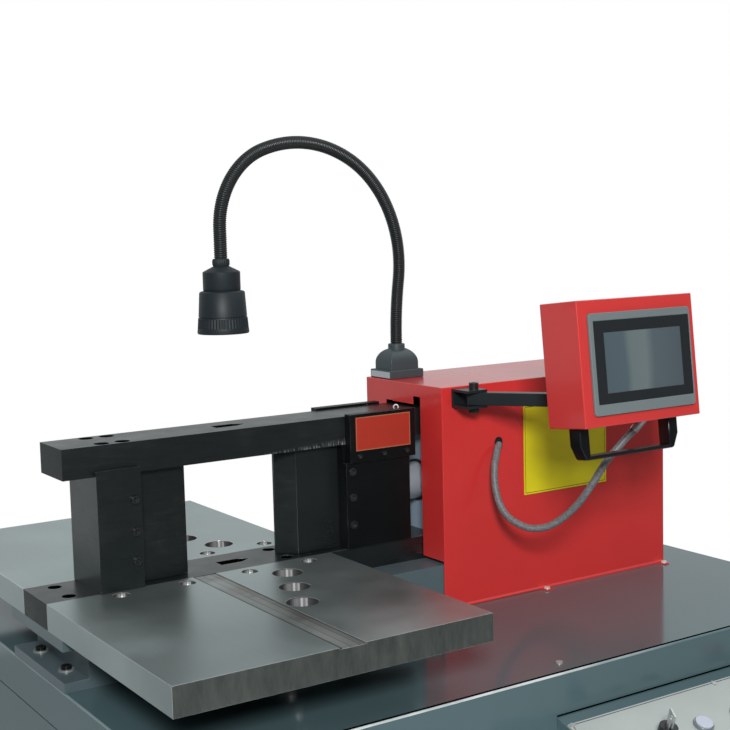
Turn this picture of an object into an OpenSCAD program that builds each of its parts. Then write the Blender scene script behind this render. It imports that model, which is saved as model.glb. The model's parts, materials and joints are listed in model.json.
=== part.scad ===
// Hydraulic busbar bending machine on a cabinet: a ram in a red housing drives a punch along a bar
// towards a fixed die column, between two steel tables, with a work lamp and a swing-out screen.
// Millimetres, +Z up. The origin is on the floor, under the middle of the cabinet and of the bar.

/* [Cabinet] */
// Length of the cabinet, along the bar
cabinet_l = 1200; // [1150:10:1500]
// Depth of the cabinet, across the bar
cabinet_w = 870; // [780:10:1000]
// Height of the cabinet above the floor
cabinet_h = 770; // [650:10:900]
// Thickness of the folded sheets
sheet = 2.5; // [1.5:0.5:4]
// Thickness of the top plate
top_t = 8; // [5:1:15]
// Height of the band above the side panels
band_h = 60; // [40:1:100]
// Width of the corner posts
post_w = 36; // [30:1:60]
// Height of the base pan
pan_h = 80; // [50:5:150]
// Gap round each panel
panel_gap = 2; // [1:0.5:4]

/* [Console] */
// Distance of the console from the cabinet's right side
console_right = 78; // [40:2:300]
// Length of the console
console_l = 556; // [540:2:570]
// Depth of the console down its slope
console_deep = 150; // [146:2:200]
// Height of the console's front face
console_front = 60; // [40:2:100]
// Slope of the console's top
console_tilt = 20; // [10:1:35]
// Bare margin above and below the control plate
console_margin = 20; // [10:1:22]
// Thickness of the control plate
control_t = 3; // [2:0.5:5]

/* [Controls] */
// Place of the first control from the console's left end
control_first = 116; // [80:1:150]
// Distance between controls
control_pitch = 73; // [60:1:80]
// Distance of the controls down the slope
control_row = 91; // [80:1:94]
// Diameter of a button cap
button_d = 25; // [18:1:30]
// Width of a button's bezel ring
bezel_ring = 2; // [1.5:0.5:5]
// Travel of a button
button_travel = 4; // [2:0.5:5]
// Diameter of the stop button's head
stop_d = 38; // [30:1:44]

/* [Bed and tables] */
// Height of the bed
bed_h = 72.5; // [60:0.5:110]
// Gap between the bed's sides and the housing
bed_gap = 2.5; // [1:0.5:15]
// Length of one table, along the bar
plate_l = 450; // [420:5:480]
// Depth of one table, across the bar
plate_w = 400; // [300:5:500]
// Thickness of the tables and of the lower bar
plate_t = 37.5; // [25:0.5:50]
// Width of the lower bar
bar_w = 95; // [90:1:110]
// Diameter of a locating hole
locate_d = 45; // [30:1:50]
// Width of the scale groove
groove_w = 37; // [20:1:40]
// Thread diameter of the table bolts
table_bolt_d = 16; // [10:1:16]

/* [Frame] */
// Clear height between the lower bar and the upper beam
opening_h = 163; // [130:1:220]
// Width of the upper beam
beam_w = 85; // [70:1:92]
// Height of the upper beam
beam_h = 43.5; // [30:0.5:60]
// Distance of the beam's end from the table's end
beam_start = 33; // [10:1:60]
// Distance of the die column from the table's end
column_x = 77; // [65:1:100]
// Length of the die column
column_l = 65; // [60:1:80]
// Thickness of the side plates on the column and the carriage
side_t = 9.5; // [6:0.5:12]
// Thread diameter of the side plates' screws
side_bolt_d = 8; // [5:1:10]
// Length of the die
die_l = 82; // [60:1:90]
// Width of the die
die_w = 50; // [48:1:64]
// Depth of the die's vee
vee_deep = 18; // [10:1:18]

/* [Ram] */
// Open distance between the die and the punch
daylight = 157; // [120:1:200]
// Length of the punch's nose
nose_l = 25; // [15:1:35]
// Length of the punch behind its nose
punch_l = 74.5; // [50:0.5:100]
// Width of the punch
punch_w = 54; // [40:1:64]
// Length of the carriage
carriage_l = 118; // [100:1:140]
// Thickness of the guides beside the beam
guide_t = 15; // [10:0.5:16]
// Diameter of the piston rod
rod_d = 60; // [50:1:80]
// Free length of rod between the carriage and the gland
rod_free = 48.5; // [40:0.5:60]

/* [Cylinder] */
// Bore of the cylinder
bore_d = 110; // [95:1:114]
// Wall of the barrel
barrel_wall = 15; // [8:0.5:15]
// Length of the barrel
barrel_l = 280; // [240:5:300]
// Length of the piston
piston_l = 50; // [30:1:60]
// Length of the front head
head_l = 60; // [40:1:80]
// Length of the rear cap
rear_l = 40; // [30:1:60]

/* [Housing] */
// Width of the housing
housing_w = 213; // [190:1:240]
// Thickness of the housing's sheet
housing_t = 2; // [1.5:0.5:3]
// Height of the housing above the beam
housing_head = 37.5; // [25:0.5:60]
// Width of the yellow plate
notice_w = 180; // [120:2:200]
// Height of the yellow plate
notice_h = 147; // [100:1:180]

/* [Lamp] */
// Diameter of the gooseneck
neck_d = 20; // [14:1:26]
// Straight height of the gooseneck above its base
neck_rise = 8; // [4:1:60]
// Radius of the gooseneck's arch
arch_r = 190; // [140:1:220]
// Turn of the arch from the line of the bar
arch_turn = 8; // [0:1:30]
// Diameter of the lamp head at its mouth
lamp_d = 78; // [74:1:100]
// Height of the lamp head
lamp_h = 111; // [95:1:140]

/* [Screen] */
// Side of the swing arm's square tube
arm_s = 20; // [16:1:25]
// Length of the swing arm
arm_l = 203; // [180:1:260]
// Turn of the swing arm out of the line of the bar
arm_turn = 51; // [40:1:60]
// Width of the screen box
box_w = 230; // [222:1:280]
// Height of the screen box
box_h = 182; // [175:1:230]
// Depth of the screen box
box_d = 79; // [60:1:110]
// Backward tilt of the screen box
box_tilt = 6; // [0:1:12]
// Width of the screen's bezel
bezel_w = 201; // [200:1:205]
// Height of the screen's bezel
bezel_h = 146.5; // [130:0.5:150]
// Length of the handle
handle_l = 197; // [150:1:200]
// Drop of the handle below the box
handle_drop = 48; // [38:1:60]
// Diameter of the cable
cable_d = 11.5; // [8:0.5:12]

/* [Hidden] */
$fn = 64;

// Overrun of every cut, and the clearances
cut = 1;
slide_gap = 0.3;
run_gap = 0.05;
hole_gap = 0.2;
seat_gap = 0.5;

// Proportions of a socket screw: head width, socket depth and socket width, as shares of its thread
head_share = 1.5;
socket_deep_share = 0.5;
socket_wide_share = 0.9;

// Places along X, from the table's left end
left = -cabinet_l / 2;
front = -cabinet_w / 2;
console_x = -left - console_right - console_l;
die_x = left + column_x + column_l;
die_face = die_x + die_l;
nose_x = die_face + daylight;
punch_x = nose_x + nose_l;
carriage_x = punch_x + punch_l;
carriage_end = carriage_x + carriage_l;
gland_l = 3;
gland_x = carriage_end + rod_free;
head_x = gland_x + gland_l;
barrel_x = head_x + head_l;
rear_x = barrel_x + barrel_l;
bar_tail = 30;
bar_end = rear_x + rear_l + bar_tail;
bed_tail = 30;
bed_end = bar_end + bed_tail;
housing_gap = 25.5;
housing_x = carriage_end + housing_gap;
housing_tail = 14;
housing_end = bed_end + housing_tail;
housing_l = housing_end - housing_x;

// Heights
bed_top = cabinet_h + bed_h;
table_top = bed_top + plate_t;
beam_z = table_top + opening_h;
beam_top = beam_z + beam_h;
housing_top = beam_top + housing_head;
axis_z = table_top + opening_h / 2;

// Cabinet details
panel_lap = 15;
panel_screw_d = 5;
panel_screw_inset = 12;
top_screw_inset = 33;
panel_low = pan_h + panel_gap;
panel_high = cabinet_h - band_h - panel_gap;
side_panel_w = cabinet_w - 2 * post_w - 2 * panel_gap;
back_panel_w = cabinet_l - 2 * post_w - 2 * panel_gap;
panel_h = panel_high - panel_low;
louvre_count = 6;
louvre_w = 160;
louvre_h = 8;
louvre_pitch = 24;

// Console details
console_top = cabinet_h - band_h;
console_t = 2;
console_slot = 3;
wire_inset = 40;
wire_drop = 30;
wire_h = 60;
control_screw_d = 4;
control_screw_inset = 4.5;
console_end_margin = 2;
slot_hood = 14;
slot_hood_h = 24;
control_l = console_l - 2 * console_end_margin;
control_w = console_deep - 2 * console_margin;
bezel_h_ring = 5;
cap_proud = 2.5;
control_names = ["key", "white", "black", "bare", "stop"];
lock_d = 26;
lock_h = 20;
key_stem_d = 9;
key_sink = 7;
key_bow_w = 19;
key_bow_h = 19;
key_rest = -25;
key_bow_t = 2.4;
key_neck_h = 6;
key_eye_d = 8;
stop_collar_rim = 4;
stop_collar_d = stop_d + 2 * stop_collar_rim;
stop_collar_h = 8;
stop_stem_d = 20;
stop_head_h = 12;
stop_clear = 6;

// Bed and table details
bed_w = housing_w - 2 * housing_t - 2 * bed_gap;
bed_plate_t = 16;
bed_foot_t = 14;
bed_wall = 12;
bed_end_inset = 35;
bed_bolt_d = 10;
bed_bolt_x = 22;
bed_bolt_y = 51;
bed_bolt_sink_into = 12;
washer_t = 2.5;
washer_share = 2.2;
low_head_share = 0.5;
table_bolt_first = 99;
table_bolt_pitch = 100;
table_bolt_count = 4;
table_bolt_edge = 22;
table_bolt_sink = 23;
table_bolt_grip = 12;
locate_first = [339, 62.5];
locate_step = [-29, 71];
locate_count = 3;
groove_x = 218;
groove_deep = 2;
strip_t = 1.4;
pin_hole_d = 19.5;
pin_hole_x = [39, 384];
pin_hole_y = 28.5;
slot_x = 283;
slot_l = 51;
slot_w = 21;
slot_tip = 17;

// Frame details
side_lap = 9;
side_screw_heights = [39, 81, 126];
side_screw_inset = 9.5;
side_screw_grip = 18;
side_sink = side_bolt_d * 0.5;
beam_bolt_d = 14;
beam_bolt_x = [96, 127];
beam_bolt_y = 29;
beam_bolt_sink = 24;
beam_bolt_grip = 30;
head_bolt_back = 22;
beam_over = 8;
beam_l = barrel_x - beam_over - left - beam_start;
eyelet_d = 9.5;
eyelet_wire = 2.2;
eyelet_back = 39.5;
eyelet_edge = 4.5;
eyelet_y = eyelet_edge - beam_w / 2;
eyelet_turn = -33;
eyelet_stem = 5;
die_lift = 0.4;
die_chamfer = [16, 6];

// Ram details
guide_low = 135;
guide_over = 3.5;
guide_start = 5;
guide_over_end = 8;
guide_l = carriage_l - guide_start + guide_over_end;
guide_x = carriage_x + guide_start;
guide_z = table_top + guide_low;
guide_screw_d = 5;
guide_screw_places = [15, 60, 103];
guide_screw_rise = 10;
guide_screw_grip = 12;
ram_screw_heights = [38, 81, 121];
ram_screw_inset = 10;
carriage_w = beam_w + 2 * slide_gap;
tag_inset = 10;
tag_l = 101;
tag_rise = 18;
tag_h = 52;
tag_t = 1;
nose_flat = 6;
piston_rest = 10;
piston_x = rear_x - piston_rest - piston_l;
rod_l = piston_x - carriage_end;
head_w = 150;
gland_rim = 4;
gland_d = rod_d + 2 * gland_rim;
tie_d = 14;
tie_y = 62;
tie_z = 62;
tie_nut = 12;
tie_nut_share = 1.7;
port_d = 18;

// Housing details
left_face_low = 32;
mouth_gap = 2;
mouth_rise = 4.5;
notch_w = 20;
notch_half = 48.5;
front_notch_up = 17.5;
back_notch_up = 5.5;
foot_screw_d = 5;
foot_screw_x = 204;
foot_tab_l = 12;
foot_tab_w = 14;
notice_x = 163;
notice_up = 163.5;
notice_t = 1;
grommet_x = 111;
grommet_up = 255;
grommet_hole = [13, 19];
grommet_lip = 1;
grommet_proud = 1.2;
grommet_in = 6;

// Lamp details
lamp_base_l = 67;
lamp_base_w = 60;
lamp_flange_h = 14;
lamp_dome_h = 33;
lamp_dome_inset = 12;
lamp_dome_wall = 10.5;
lamp_collar_d = 28;
lamp_collar_h = 9;
lamp_base_x = 4;
lamp_base_back = 7;
lamp_nut_d = 26;
lamp_nut_h = 11;
lamp_cone_h = 8;
lamp_body_d = 56;
lamp_body_h = 28;
lamp_step_h = 3;
lamp_flare = 5;
lamp_ring_h = 24;
lamp_groove = 1.2;
lamp_wall = 4;
lamp_mouth_d = lamp_d - 2 * lamp_flare - 2 * lamp_wall;
lens_deep = 3;
lens_t = 4;
neck_drop = 45;
lean_r = 620;
lean_turn = 9;
arch_sweep = 72;
crown_r = 220;
crown_turn = 46;
fall_r = 124;
neck_sides = 24;
bend_steps = 12;
fall_turn = 180 + lean_turn - arch_sweep - crown_turn;

// Screen details
bracket_x = 19;
pivot_along = 24;
bracket_l = 38;
bracket_t = 4;
bracket_out = 42;
bracket_drop = 3;
pivot_out = 26;
pivot_d = 10;
pivot_nut_h = 8;
arm_gap = 0.4;
arm_wall = 2.5;
arm_start = 9;
arm_plate_w = 80;
arm_plate_h = 50;
arm_plate_t = 5;
arm_rise = 31;
box_t = 2;
bezel_left = 17;
bezel_top = 19.5;
bezel_t = 5;
bezel_body_in = 30;
bezel_body_inset = 8;
bezel_round = 5;
glass_left = 8;
glass_top = 11.5;
glass_w = 190;
glass_h = 119;
glass_deep = 1.5;
glass_sunk = 0.4;
handle_x = 12.5;
handle_leg = 19;
handle_deep = 24;
handle_bar = 6;
handle_slope_share = 0.55;
handle_taper = 10;
fitting_x = 165;
fitting_y = 26;
fitting_d = 13;
fitting_l = 24;
fitting_lean = 43;
fitting_aim = 140;
fitting_nut_d = 20;
fitting_nut_h = 4;

// Power unit details
tank_l = 420;
tank_w = 320;
tank_h = 260;
tank_off = 320;
tank_x = left + tank_off;
motor_d = 170;
motor_h = 240;
motor_off = 90;
valve_l = 110;
valve_w = 120;
valve_h = 90;
valve_off = 120;
solenoid_d = 44;
solenoid_l = 60;
panel_box_l = 160;
panel_box_w = 420;
panel_box_h = 460;
panel_box_off = 220;
panel_box_x = -left - panel_box_off;

// Route of the cable from the middle of the grommet to the screen box, chosen by hand
cable_route = [
    [0, -1.3, -1], [-9.5, -8.5, -8], [-16.5, -14, -17.5], [-23.5, -19, -30.5], [-28.5, -24.5, -50],
    [-31, -31, -69.5], [-31, -40.5, -89], [-28.5, -53, -104], [-22.5, -68, -114], [-9.5, -87, -121.5],
    [8, -107.5, -118], [25, -128, -101.5], [38.5, -148.5, -76], [48.5, -167, -45.5], [59.5, -182, -14.5],
    [75.5, -194.5, 11], [97.2, -204.2, 34.8]
];
cable_sides = 10;
cable_end_gap = 0.1;

// Basic shapes
module slab(l, w, h, x, z) translate([x, -w / 2, z]) cube([l, w, h]);
module rod_x(d, l) rotate([0, 90, 0]) cylinder(d = d, h = l);
module both_sides() {
    children();
    mirror([0, 1, 0]) children();
}
module stadium(size, h) {
    rise = size[1] - size[0];
    for (side = [-1, 1]) translate([0, side * rise / 2, 0]) cylinder(d = size[0], h = h);
    translate([-size[0] / 2, -rise / 2, 0]) cube([size[0], rise, h]);
}

// Socket screw: its head stands on the plane z = 0, and its shank goes down from there
module socket_screw(d, l, rise_share = 1) {
    head_h = d * rise_share;
    difference() {
        union() {
            cylinder(d = d * head_share, h = head_h);
            translate([0, 0, -l]) cylinder(d = d, h = l);
        }
        translate([0, 0, head_h - d * socket_deep_share * rise_share])
            cylinder(d = d * socket_wide_share, h = d, $fn = 6);
    }
}
module swept(rings) {
    n = len(rings[0]);
    last = len(rings) - 1;
    polyhedron(
        points = [for (r = rings) each r],
        faces = concat(
            [[for (k = [0 : n - 1]) k]],
            [for (i = [0 : last - 1], k = [0 : n - 1])
                [i * n + k, (i + 1) * n + k, (i + 1) * n + (k + 1) % n, i * n + (k + 1) % n]],
            [[for (k = [n - 1 : -1 : 0]) last * n + k]]
        )
    );
}
module screw_bore(d, l, sink) {
    translate([0, 0, -l - cut]) cylinder(d = d + 2 * hole_gap, h = l + 2 * cut);
    cylinder(d = d * head_share + 2 * hole_gap, h = sink + cut);
}
module on_front(x, y, z) translate([x, -y, z]) rotate([90, 0, 0]) children();

// Cabinet
module base_pan() color("#4f5f63") difference() {
    slab(cabinet_l, cabinet_w, pan_h, left, 0);
    slab(cabinet_l - 2 * sheet, cabinet_w - 2 * sheet, pan_h, left + sheet, sheet);
}

module panel_seat(w, h) {
    difference() {
        translate([-w / 2 - panel_lap, 0, -panel_lap]) cube([w + 2 * panel_lap, sheet, h + 2 * panel_lap]);
        translate([-w / 2 + panel_lap, -cut, panel_lap])
            cube([w - 2 * panel_lap, sheet + 2 * cut, h - 2 * panel_lap]);
        panel_screw_places(w, h) translate([0, 0, -cut - 2 * sheet])
            cylinder(d = panel_screw_d + 2 * hole_gap, h = 4 * sheet + 2 * cut);
    }
}
module panel_screw_places(w, h) {
    for (x = [-1, 1] * (w / 2 - panel_screw_inset), z = [panel_screw_inset, h - panel_screw_inset])
        translate([x, 0, z]) rotate([90, 0, 0]) children();
}
module panel(w, h, vents = false) {
    difference() {
        translate([-w / 2, 0, 0]) cube([w, sheet, h]);
        panel_screw_places(w, h) translate([0, 0, -sheet - cut])
            cylinder(d = panel_screw_d + 2 * hole_gap, h = sheet + 2 * cut);
        if (vents) for (i = [0 : louvre_count - 1], side = [-1, 1])
            translate([side * w / 4 - louvre_w / 2, -cut, h / 2 + (i - louvre_count / 2) * louvre_pitch])
                cube([louvre_w, sheet + 2 * cut, louvre_h]);
    }
}
module panel_screw_set(w, h) panel_screw_places(w, h) {
    cylinder(d = panel_screw_d * 2, h = panel_screw_d / 2);
    translate([0, 0, -2 * sheet]) cylinder(d = panel_screw_d, h = 2 * sheet);
}
module top_screw_places() {
    for (x = [-1, 0, 1] * (cabinet_l / 2 - top_screw_inset), y = [-1, 1] * (cabinet_w / 2 - top_screw_inset))
        translate([x, y, cabinet_h]) children();
}
module at_left() translate([left, 0, panel_low]) rotate([0, 0, -90]) children();
module at_right() translate([-left, 0, panel_low]) rotate([0, 0, 90]) children();
module at_back() translate([0, -front, panel_low]) rotate([0, 0, 180]) children();

module cabinet_shell() color("#5f7377") {
    wall_h = cabinet_h - top_t - pan_h;
    difference() {
        slab(cabinet_l, cabinet_w, top_t, left, cabinet_h - top_t);
        top_screw_places() translate([0, 0, -top_t - cut])
            cylinder(d = panel_screw_d + 2 * hole_gap, h = top_t + 2 * cut);
        foot_screw_places() translate([0, 0, -housing_t - top_t - cut])
            cylinder(d = foot_screw_d + 2 * hole_gap, h = top_t + 2 * cut);
    }
    difference() {
        translate([left, front, pan_h]) cube([cabinet_l, sheet, wall_h]);
        translate([console_x, front - cut, console_top])
            cube([console_l, sheet + 2 * cut, console_slot]);
        translate([console_x + wire_inset, front - cut, console_top - wire_drop - wire_h])
            cube([console_l - 2 * wire_inset, sheet + 2 * cut, wire_h]);
    }
    translate([console_x, front, console_top + console_slot]) {
        cube([console_l, slot_hood, sheet]);
        translate([0, slot_hood - sheet, sheet - slot_hood_h]) cube([console_l, sheet, slot_hood_h]);
    }
    translate([left, -front - sheet, console_top]) cube([cabinet_l, sheet, band_h - top_t]);
    for (side = [0, 1]) mirror([side, 0, 0]) {
        slab(sheet, cabinet_w, band_h - top_t, left, console_top);
        both_sides() translate([left, front, pan_h]) {
            cube([sheet, post_w, wall_h]);
            cube([post_w, sheet, wall_h]);
        }
    }
    at_left() translate([0, sheet, 0]) panel_seat(side_panel_w, panel_h);
    at_right() translate([0, sheet, 0]) panel_seat(side_panel_w, panel_h);
    at_back() translate([0, sheet, 0]) panel_seat(back_panel_w, panel_h);
}
module left_panel() color("#5f7377") at_left() panel(side_panel_w, panel_h);
module right_panel() color("#5f7377") at_right() panel(side_panel_w, panel_h, true);
module back_panel() color("#5f7377") at_back() panel(back_panel_w, panel_h, true);
module panel_screws() color("#303436") {
    at_left() panel_screw_set(side_panel_w, panel_h);
    at_right() panel_screw_set(side_panel_w, panel_h);
    at_back() panel_screw_set(back_panel_w, panel_h);
    top_screw_places() {
        cylinder(d = panel_screw_d * 2, h = panel_screw_d / 2);
        translate([0, 0, -top_t]) cylinder(d = panel_screw_d, h = top_t);
    }
}

// Console: x runs along it and s down its slope, with z out of its top
module at_console(x, s) translate([console_x, front, console_top])
    rotate([console_tilt, 0, 0]) translate([x, -s, 0]) children();
function control_index(name) = [for (i = [0 : len(control_names) - 1]) if (control_names[i] == name) i][0];
module control_place(name) at_console(control_first + control_index(name) * control_pitch, control_row)
    translate([0, 0, control_t]) children();
module control_screw_places() {
    for (x = [control_screw_inset, control_l / 2, control_l - control_screw_inset],
         s = [control_screw_inset, control_w - control_screw_inset])
        at_console(console_end_margin + x, console_margin + s) children();
}
function console_outline(t) = let (
    reach = console_deep * cos(console_tilt) - t,
    drop = reach * tan(console_tilt),
    top = -t / cos(console_tilt),
    low = -console_deep * sin(console_tilt) - console_front + t
) [[0, top], [-reach, top - drop], [-reach, low], [0, low - (t > 0 ? 0 : console_front)]];

module console_box() color("#566a6e") difference() {
    translate([console_x, front, console_top]) rotate([90, 0, 90])
        linear_extrude(console_l) polygon(console_outline(0));
    translate([console_x + console_t, front, console_top]) rotate([90, 0, 90])
        linear_extrude(console_l - 2 * console_t) polygon(console_outline(console_t));
    control_screw_places() translate([0, 0, -console_t - cut])
        cylinder(d = control_screw_d + 2 * hole_gap, h = console_t + 2 * cut);
}
module control_plate() color("#b9c0be") difference() {
    at_console(console_end_margin, console_deep - console_margin) cube([control_l, control_w, control_t]);
    control_screw_places() translate([0, 0, -cut])
        cylinder(d = control_screw_d + 2 * hole_gap, h = control_t + 2 * cut);
}
module control_screws() color("#c9cdcc") control_screw_places() {
    translate([0, 0, control_t]) cylinder(d = control_screw_d * 2, h = control_screw_d / 2);
    translate([0, 0, -console_t]) cylinder(d = control_screw_d, h = console_t + control_t);
}
module key_lock() color("#26282a") control_place("key") difference() {
    cylinder(d = lock_d, h = lock_h);
    translate([0, 0, lock_h - key_sink]) cylinder(d = key_stem_d + 2 * run_gap, h = key_sink + cut);
}
module key() color("#b4b8ba") control_place("key") translate([0, 0, lock_h - key_sink + slide_gap])
    rotate([0, 0, key_rest]) difference() {
    union() {
        cylinder(d = key_stem_d, h = key_sink + key_neck_h);
        translate([-key_bow_t / 2, -key_bow_w / 2, key_sink + key_neck_h / 2])
            cube([key_bow_t, key_bow_w, key_bow_h]);
    }
    translate([-key_bow_w / 2, 0, key_sink + key_bow_h - key_eye_d / 2]) rod_x(key_eye_d, key_bow_w);
}
module button_ring(inner) difference() {
    cylinder(d = inner + 2 * bezel_ring, h = bezel_h_ring);
    translate([0, 0, -cut]) cylinder(d = inner + 2 * run_gap, h = bezel_h_ring + 2 * cut);
}
module button_bezels() color("#8d9496") {
    control_place("white") button_ring(button_d);
    control_place("black") button_ring(button_d);
    control_place("stop") difference() {
        cylinder(d = stop_collar_d, h = stop_collar_h);
        translate([0, 0, -cut]) cylinder(d = stop_stem_d + 2 * run_gap, h = stop_collar_h + 2 * cut);
    }
}
module button_cap() {
    base = button_travel + slide_gap;
    translate([0, 0, base]) cylinder(d = button_d, h = bezel_h_ring + cap_proud - base);
}
module white_button() color("#dfe6ea") control_place("white") button_cap();
module black_button() color("#26282a") control_place("black") button_cap();
module stop_button() color("#b3262a") control_place("stop") {
    stem_h = stop_collar_h + stop_clear - slide_gap;
    translate([0, 0, slide_gap]) {
        translate([0, 0, button_travel]) cylinder(d = stop_stem_d, h = stem_h - button_travel);
        translate([0, 0, stem_h]) cylinder(d1 = stop_d, d2 = stop_d * head_share / 2, h = stop_head_h);
    }
}

// Bed and tables
module bed() color("#6b7f86") difference() {
    union() {
        slab(bed_end - left, bed_w, bed_plate_t, left, bed_top - bed_plate_t);
        slab(bed_end - left, bed_w, bed_foot_t, left, cabinet_h);
        difference() {
            slab(bed_end - left - bed_end_inset, bed_w, bed_h, left + bed_end_inset, cabinet_h);
            slab(bed_end - left - bed_end_inset - 2 * bed_wall, bed_w - 2 * bed_wall,
                bed_h - bed_plate_t - bed_foot_t, left + bed_end_inset + bed_wall, cabinet_h + bed_foot_t);
        }
    }
    bed_bolt_places() screw_bore(bed_bolt_d, bed_foot_t, bed_h);
    both_sides() table_bolt_places() screw_bore(table_bolt_d, table_bolt_grip + plate_t, 0);
}
module bed_bolt_places() both_sides()
    translate([left + bed_bolt_x, bed_bolt_y, cabinet_h + bed_foot_t]) children();
module bed_bolts() color("#3a3d3f") bed_bolt_places() {
    difference() {
        cylinder(d = bed_bolt_d * washer_share, h = washer_t);
        translate([0, 0, -cut]) cylinder(d = bed_bolt_d + 2 * hole_gap, h = washer_t + 2 * cut);
    }
    translate([0, 0, washer_t]) socket_screw(bed_bolt_d, bed_foot_t + washer_t, low_head_share);
}
module house_slot(h) translate([left + slot_x, 0, -cut]) linear_extrude(h + 2 * cut) polygon([
    [0, -slot_w / 2], [slot_l - slot_tip, -slot_w / 2], [slot_l, 0],
    [slot_l - slot_tip, slot_w / 2], [0, slot_w / 2]
]);
module lower_bar() color("#2c2f31") difference() {
    slab(bar_end - left, bar_w, plate_t, left, bed_top);
    translate([0, 0, bed_top]) house_slot(plate_t);
    for (x = pin_hole_x) both_sides() translate([left + x, pin_hole_y, bed_top - cut])
        cylinder(d = pin_hole_d, h = plate_t + 2 * cut);
    both_sides() for (x = beam_bolt_x) translate([left + x, beam_bolt_y, table_top])
        screw_bore(beam_bolt_d, beam_bolt_grip, 0);
}
module table_bolt_places() {
    for (i = [0 : table_bolt_count - 1])
        translate([left + table_bolt_first + i * table_bolt_pitch, -bar_w / 2 - table_bolt_edge,
            table_top - table_bolt_sink]) children();
}
module table_blank() difference() {
    translate([left, -bar_w / 2 - plate_w, bed_top]) cube([plate_l, plate_w, plate_t]);
    translate([left + groove_x, -bar_w / 2 - plate_w - cut, table_top - groove_deep])
        cube([groove_w, plate_w + 2 * cut, groove_deep + cut]);
    table_bolt_places() screw_bore(table_bolt_d, plate_t, table_bolt_sink);
    for (i = [0 : locate_count - 1])
        translate([left + locate_first[0] + i * locate_step[0],
            -bar_w / 2 - locate_first[1] - i * locate_step[1], bed_top - cut])
            cylinder(d = locate_d, h = plate_t + 2 * cut);
}
module front_table() color("#7d8384") table_blank();
module back_table() color("#7d8384") mirror([0, 1, 0]) table_blank();
module table_bolts() color("#b0b4b5") both_sides() table_bolt_places()
    socket_screw(table_bolt_d, plate_t - table_bolt_sink + table_bolt_grip);
module scale_strips() color("#6f665c") both_sides()
    translate([left + groove_x + hole_gap, -bar_w / 2 - plate_w + hole_gap, table_top - groove_deep])
        cube([groove_w - 2 * hole_gap, plate_w - 2 * hole_gap, strip_t]);

// Frame
module beam_bolt_places() both_sides() {
    for (x = beam_bolt_x) translate([left + x, beam_bolt_y, beam_top - beam_bolt_sink]) children();
    translate([barrel_x - head_bolt_back, beam_bolt_y, beam_top - beam_bolt_sink]) children();
}
module upper_beam() color("#2c2f31") difference() {
    slab(beam_l, beam_w, beam_h, left + beam_start, beam_z);
    translate([0, 0, beam_z]) house_slot(beam_h);
    beam_bolt_places() screw_bore(beam_bolt_d, beam_h, beam_bolt_sink);
    translate([housing_x - eyelet_back, eyelet_y, beam_top - eyelet_stem])
        cylinder(d = eyelet_wire + 2 * hole_gap, h = eyelet_stem + cut);
}
module beam_bolts() color("#2a2c2e") beam_bolt_places()
    socket_screw(beam_bolt_d, beam_h - beam_bolt_sink + beam_bolt_grip);
module beam_eyelet() color("#d8dadb") translate([housing_x - eyelet_back, eyelet_y, beam_top]) {
    translate([0, 0, eyelet_d / 2]) rotate([90, 0, eyelet_turn]) rotate_extrude()
        translate([eyelet_d / 2 - eyelet_wire / 2, 0]) circle(d = eyelet_wire);
    translate([0, 0, -eyelet_stem]) cylinder(d = eyelet_wire, h = eyelet_stem + eyelet_wire / 2);
}
module side_screw_places(x, heights) {
    for (z = heights) on_front(x, beam_w / 2 + side_t - side_sink, table_top + z) children();
}
module die_screw_places() side_screw_places(die_x - side_screw_inset, side_screw_heights) children();
module die_column() color("#2c2f31") difference() {
    slab(column_l, beam_w, opening_h, left + column_x, table_top);
    both_sides() die_screw_places() screw_bore(side_bolt_d, side_screw_grip + side_t, 0);
    both_sides() for (x = beam_bolt_x) translate([left + x, beam_bolt_y, beam_z])
        screw_bore(beam_bolt_d, beam_bolt_grip, 0);
}
module die_side() difference() {
    translate([left + column_x, -beam_w / 2 - side_t, table_top + seat_gap])
        cube([column_l, side_t, opening_h + side_lap - seat_gap]);
    die_screw_places() screw_bore(side_bolt_d, side_t, side_sink);
}
module die_side_plates() color("#303336") both_sides() die_side();
module die_screws() color("#1d1f20") both_sides() die_screw_places()
    socket_screw(side_bolt_d, side_screw_grip);
module die() color("#33302d") translate([0, 0, table_top + die_lift])
    linear_extrude(opening_h - 2 * die_lift) polygon([
        [die_x, -die_w / 2], [die_face - die_chamfer[0], -die_w / 2], [die_face, -die_w / 2 + die_chamfer[1]],
        [die_face, -vee_deep], [die_face - vee_deep, 0], [die_face, vee_deep],
        [die_face, die_w / 2 - die_chamfer[1]], [die_face - die_chamfer[0], die_w / 2], [die_x, die_w / 2]
    ]);

// Ram
module ram_screw_places() side_screw_places(carriage_x + ram_screw_inset, ram_screw_heights) children();
module guide_screw_places() {
    for (x = guide_screw_places)
        on_front(guide_x + x, carriage_w / 2 + guide_t, guide_z + guide_screw_rise) children();
}
module carriage() color("#2c2f31") difference() {
    slab(carriage_l, carriage_w, opening_h - 2 * slide_gap, carriage_x, table_top + slide_gap);
    both_sides() ram_screw_places() screw_bore(side_bolt_d, side_screw_grip + side_t, 0);
    both_sides() guide_screw_places() screw_bore(guide_screw_d, guide_screw_grip + guide_t, 0);
}
module ram_side() difference() {
    translate([carriage_x, -carriage_w / 2 - side_t, table_top + seat_gap])
        cube([carriage_l, side_t, guide_low - 2 * seat_gap]);
    ram_screw_places() screw_bore(side_bolt_d, side_t, side_sink);
}
module ram_side_plates() color("#303336") both_sides() ram_side();
module guide() difference() {
    translate([guide_x, -carriage_w / 2 - guide_t, guide_z])
        cube([guide_l, guide_t, opening_h + beam_h + guide_over - guide_low]);
    guide_screw_places() screw_bore(guide_screw_d, guide_t, 0);
}
module ram_guides() color("#26292b") both_sides() guide();
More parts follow.
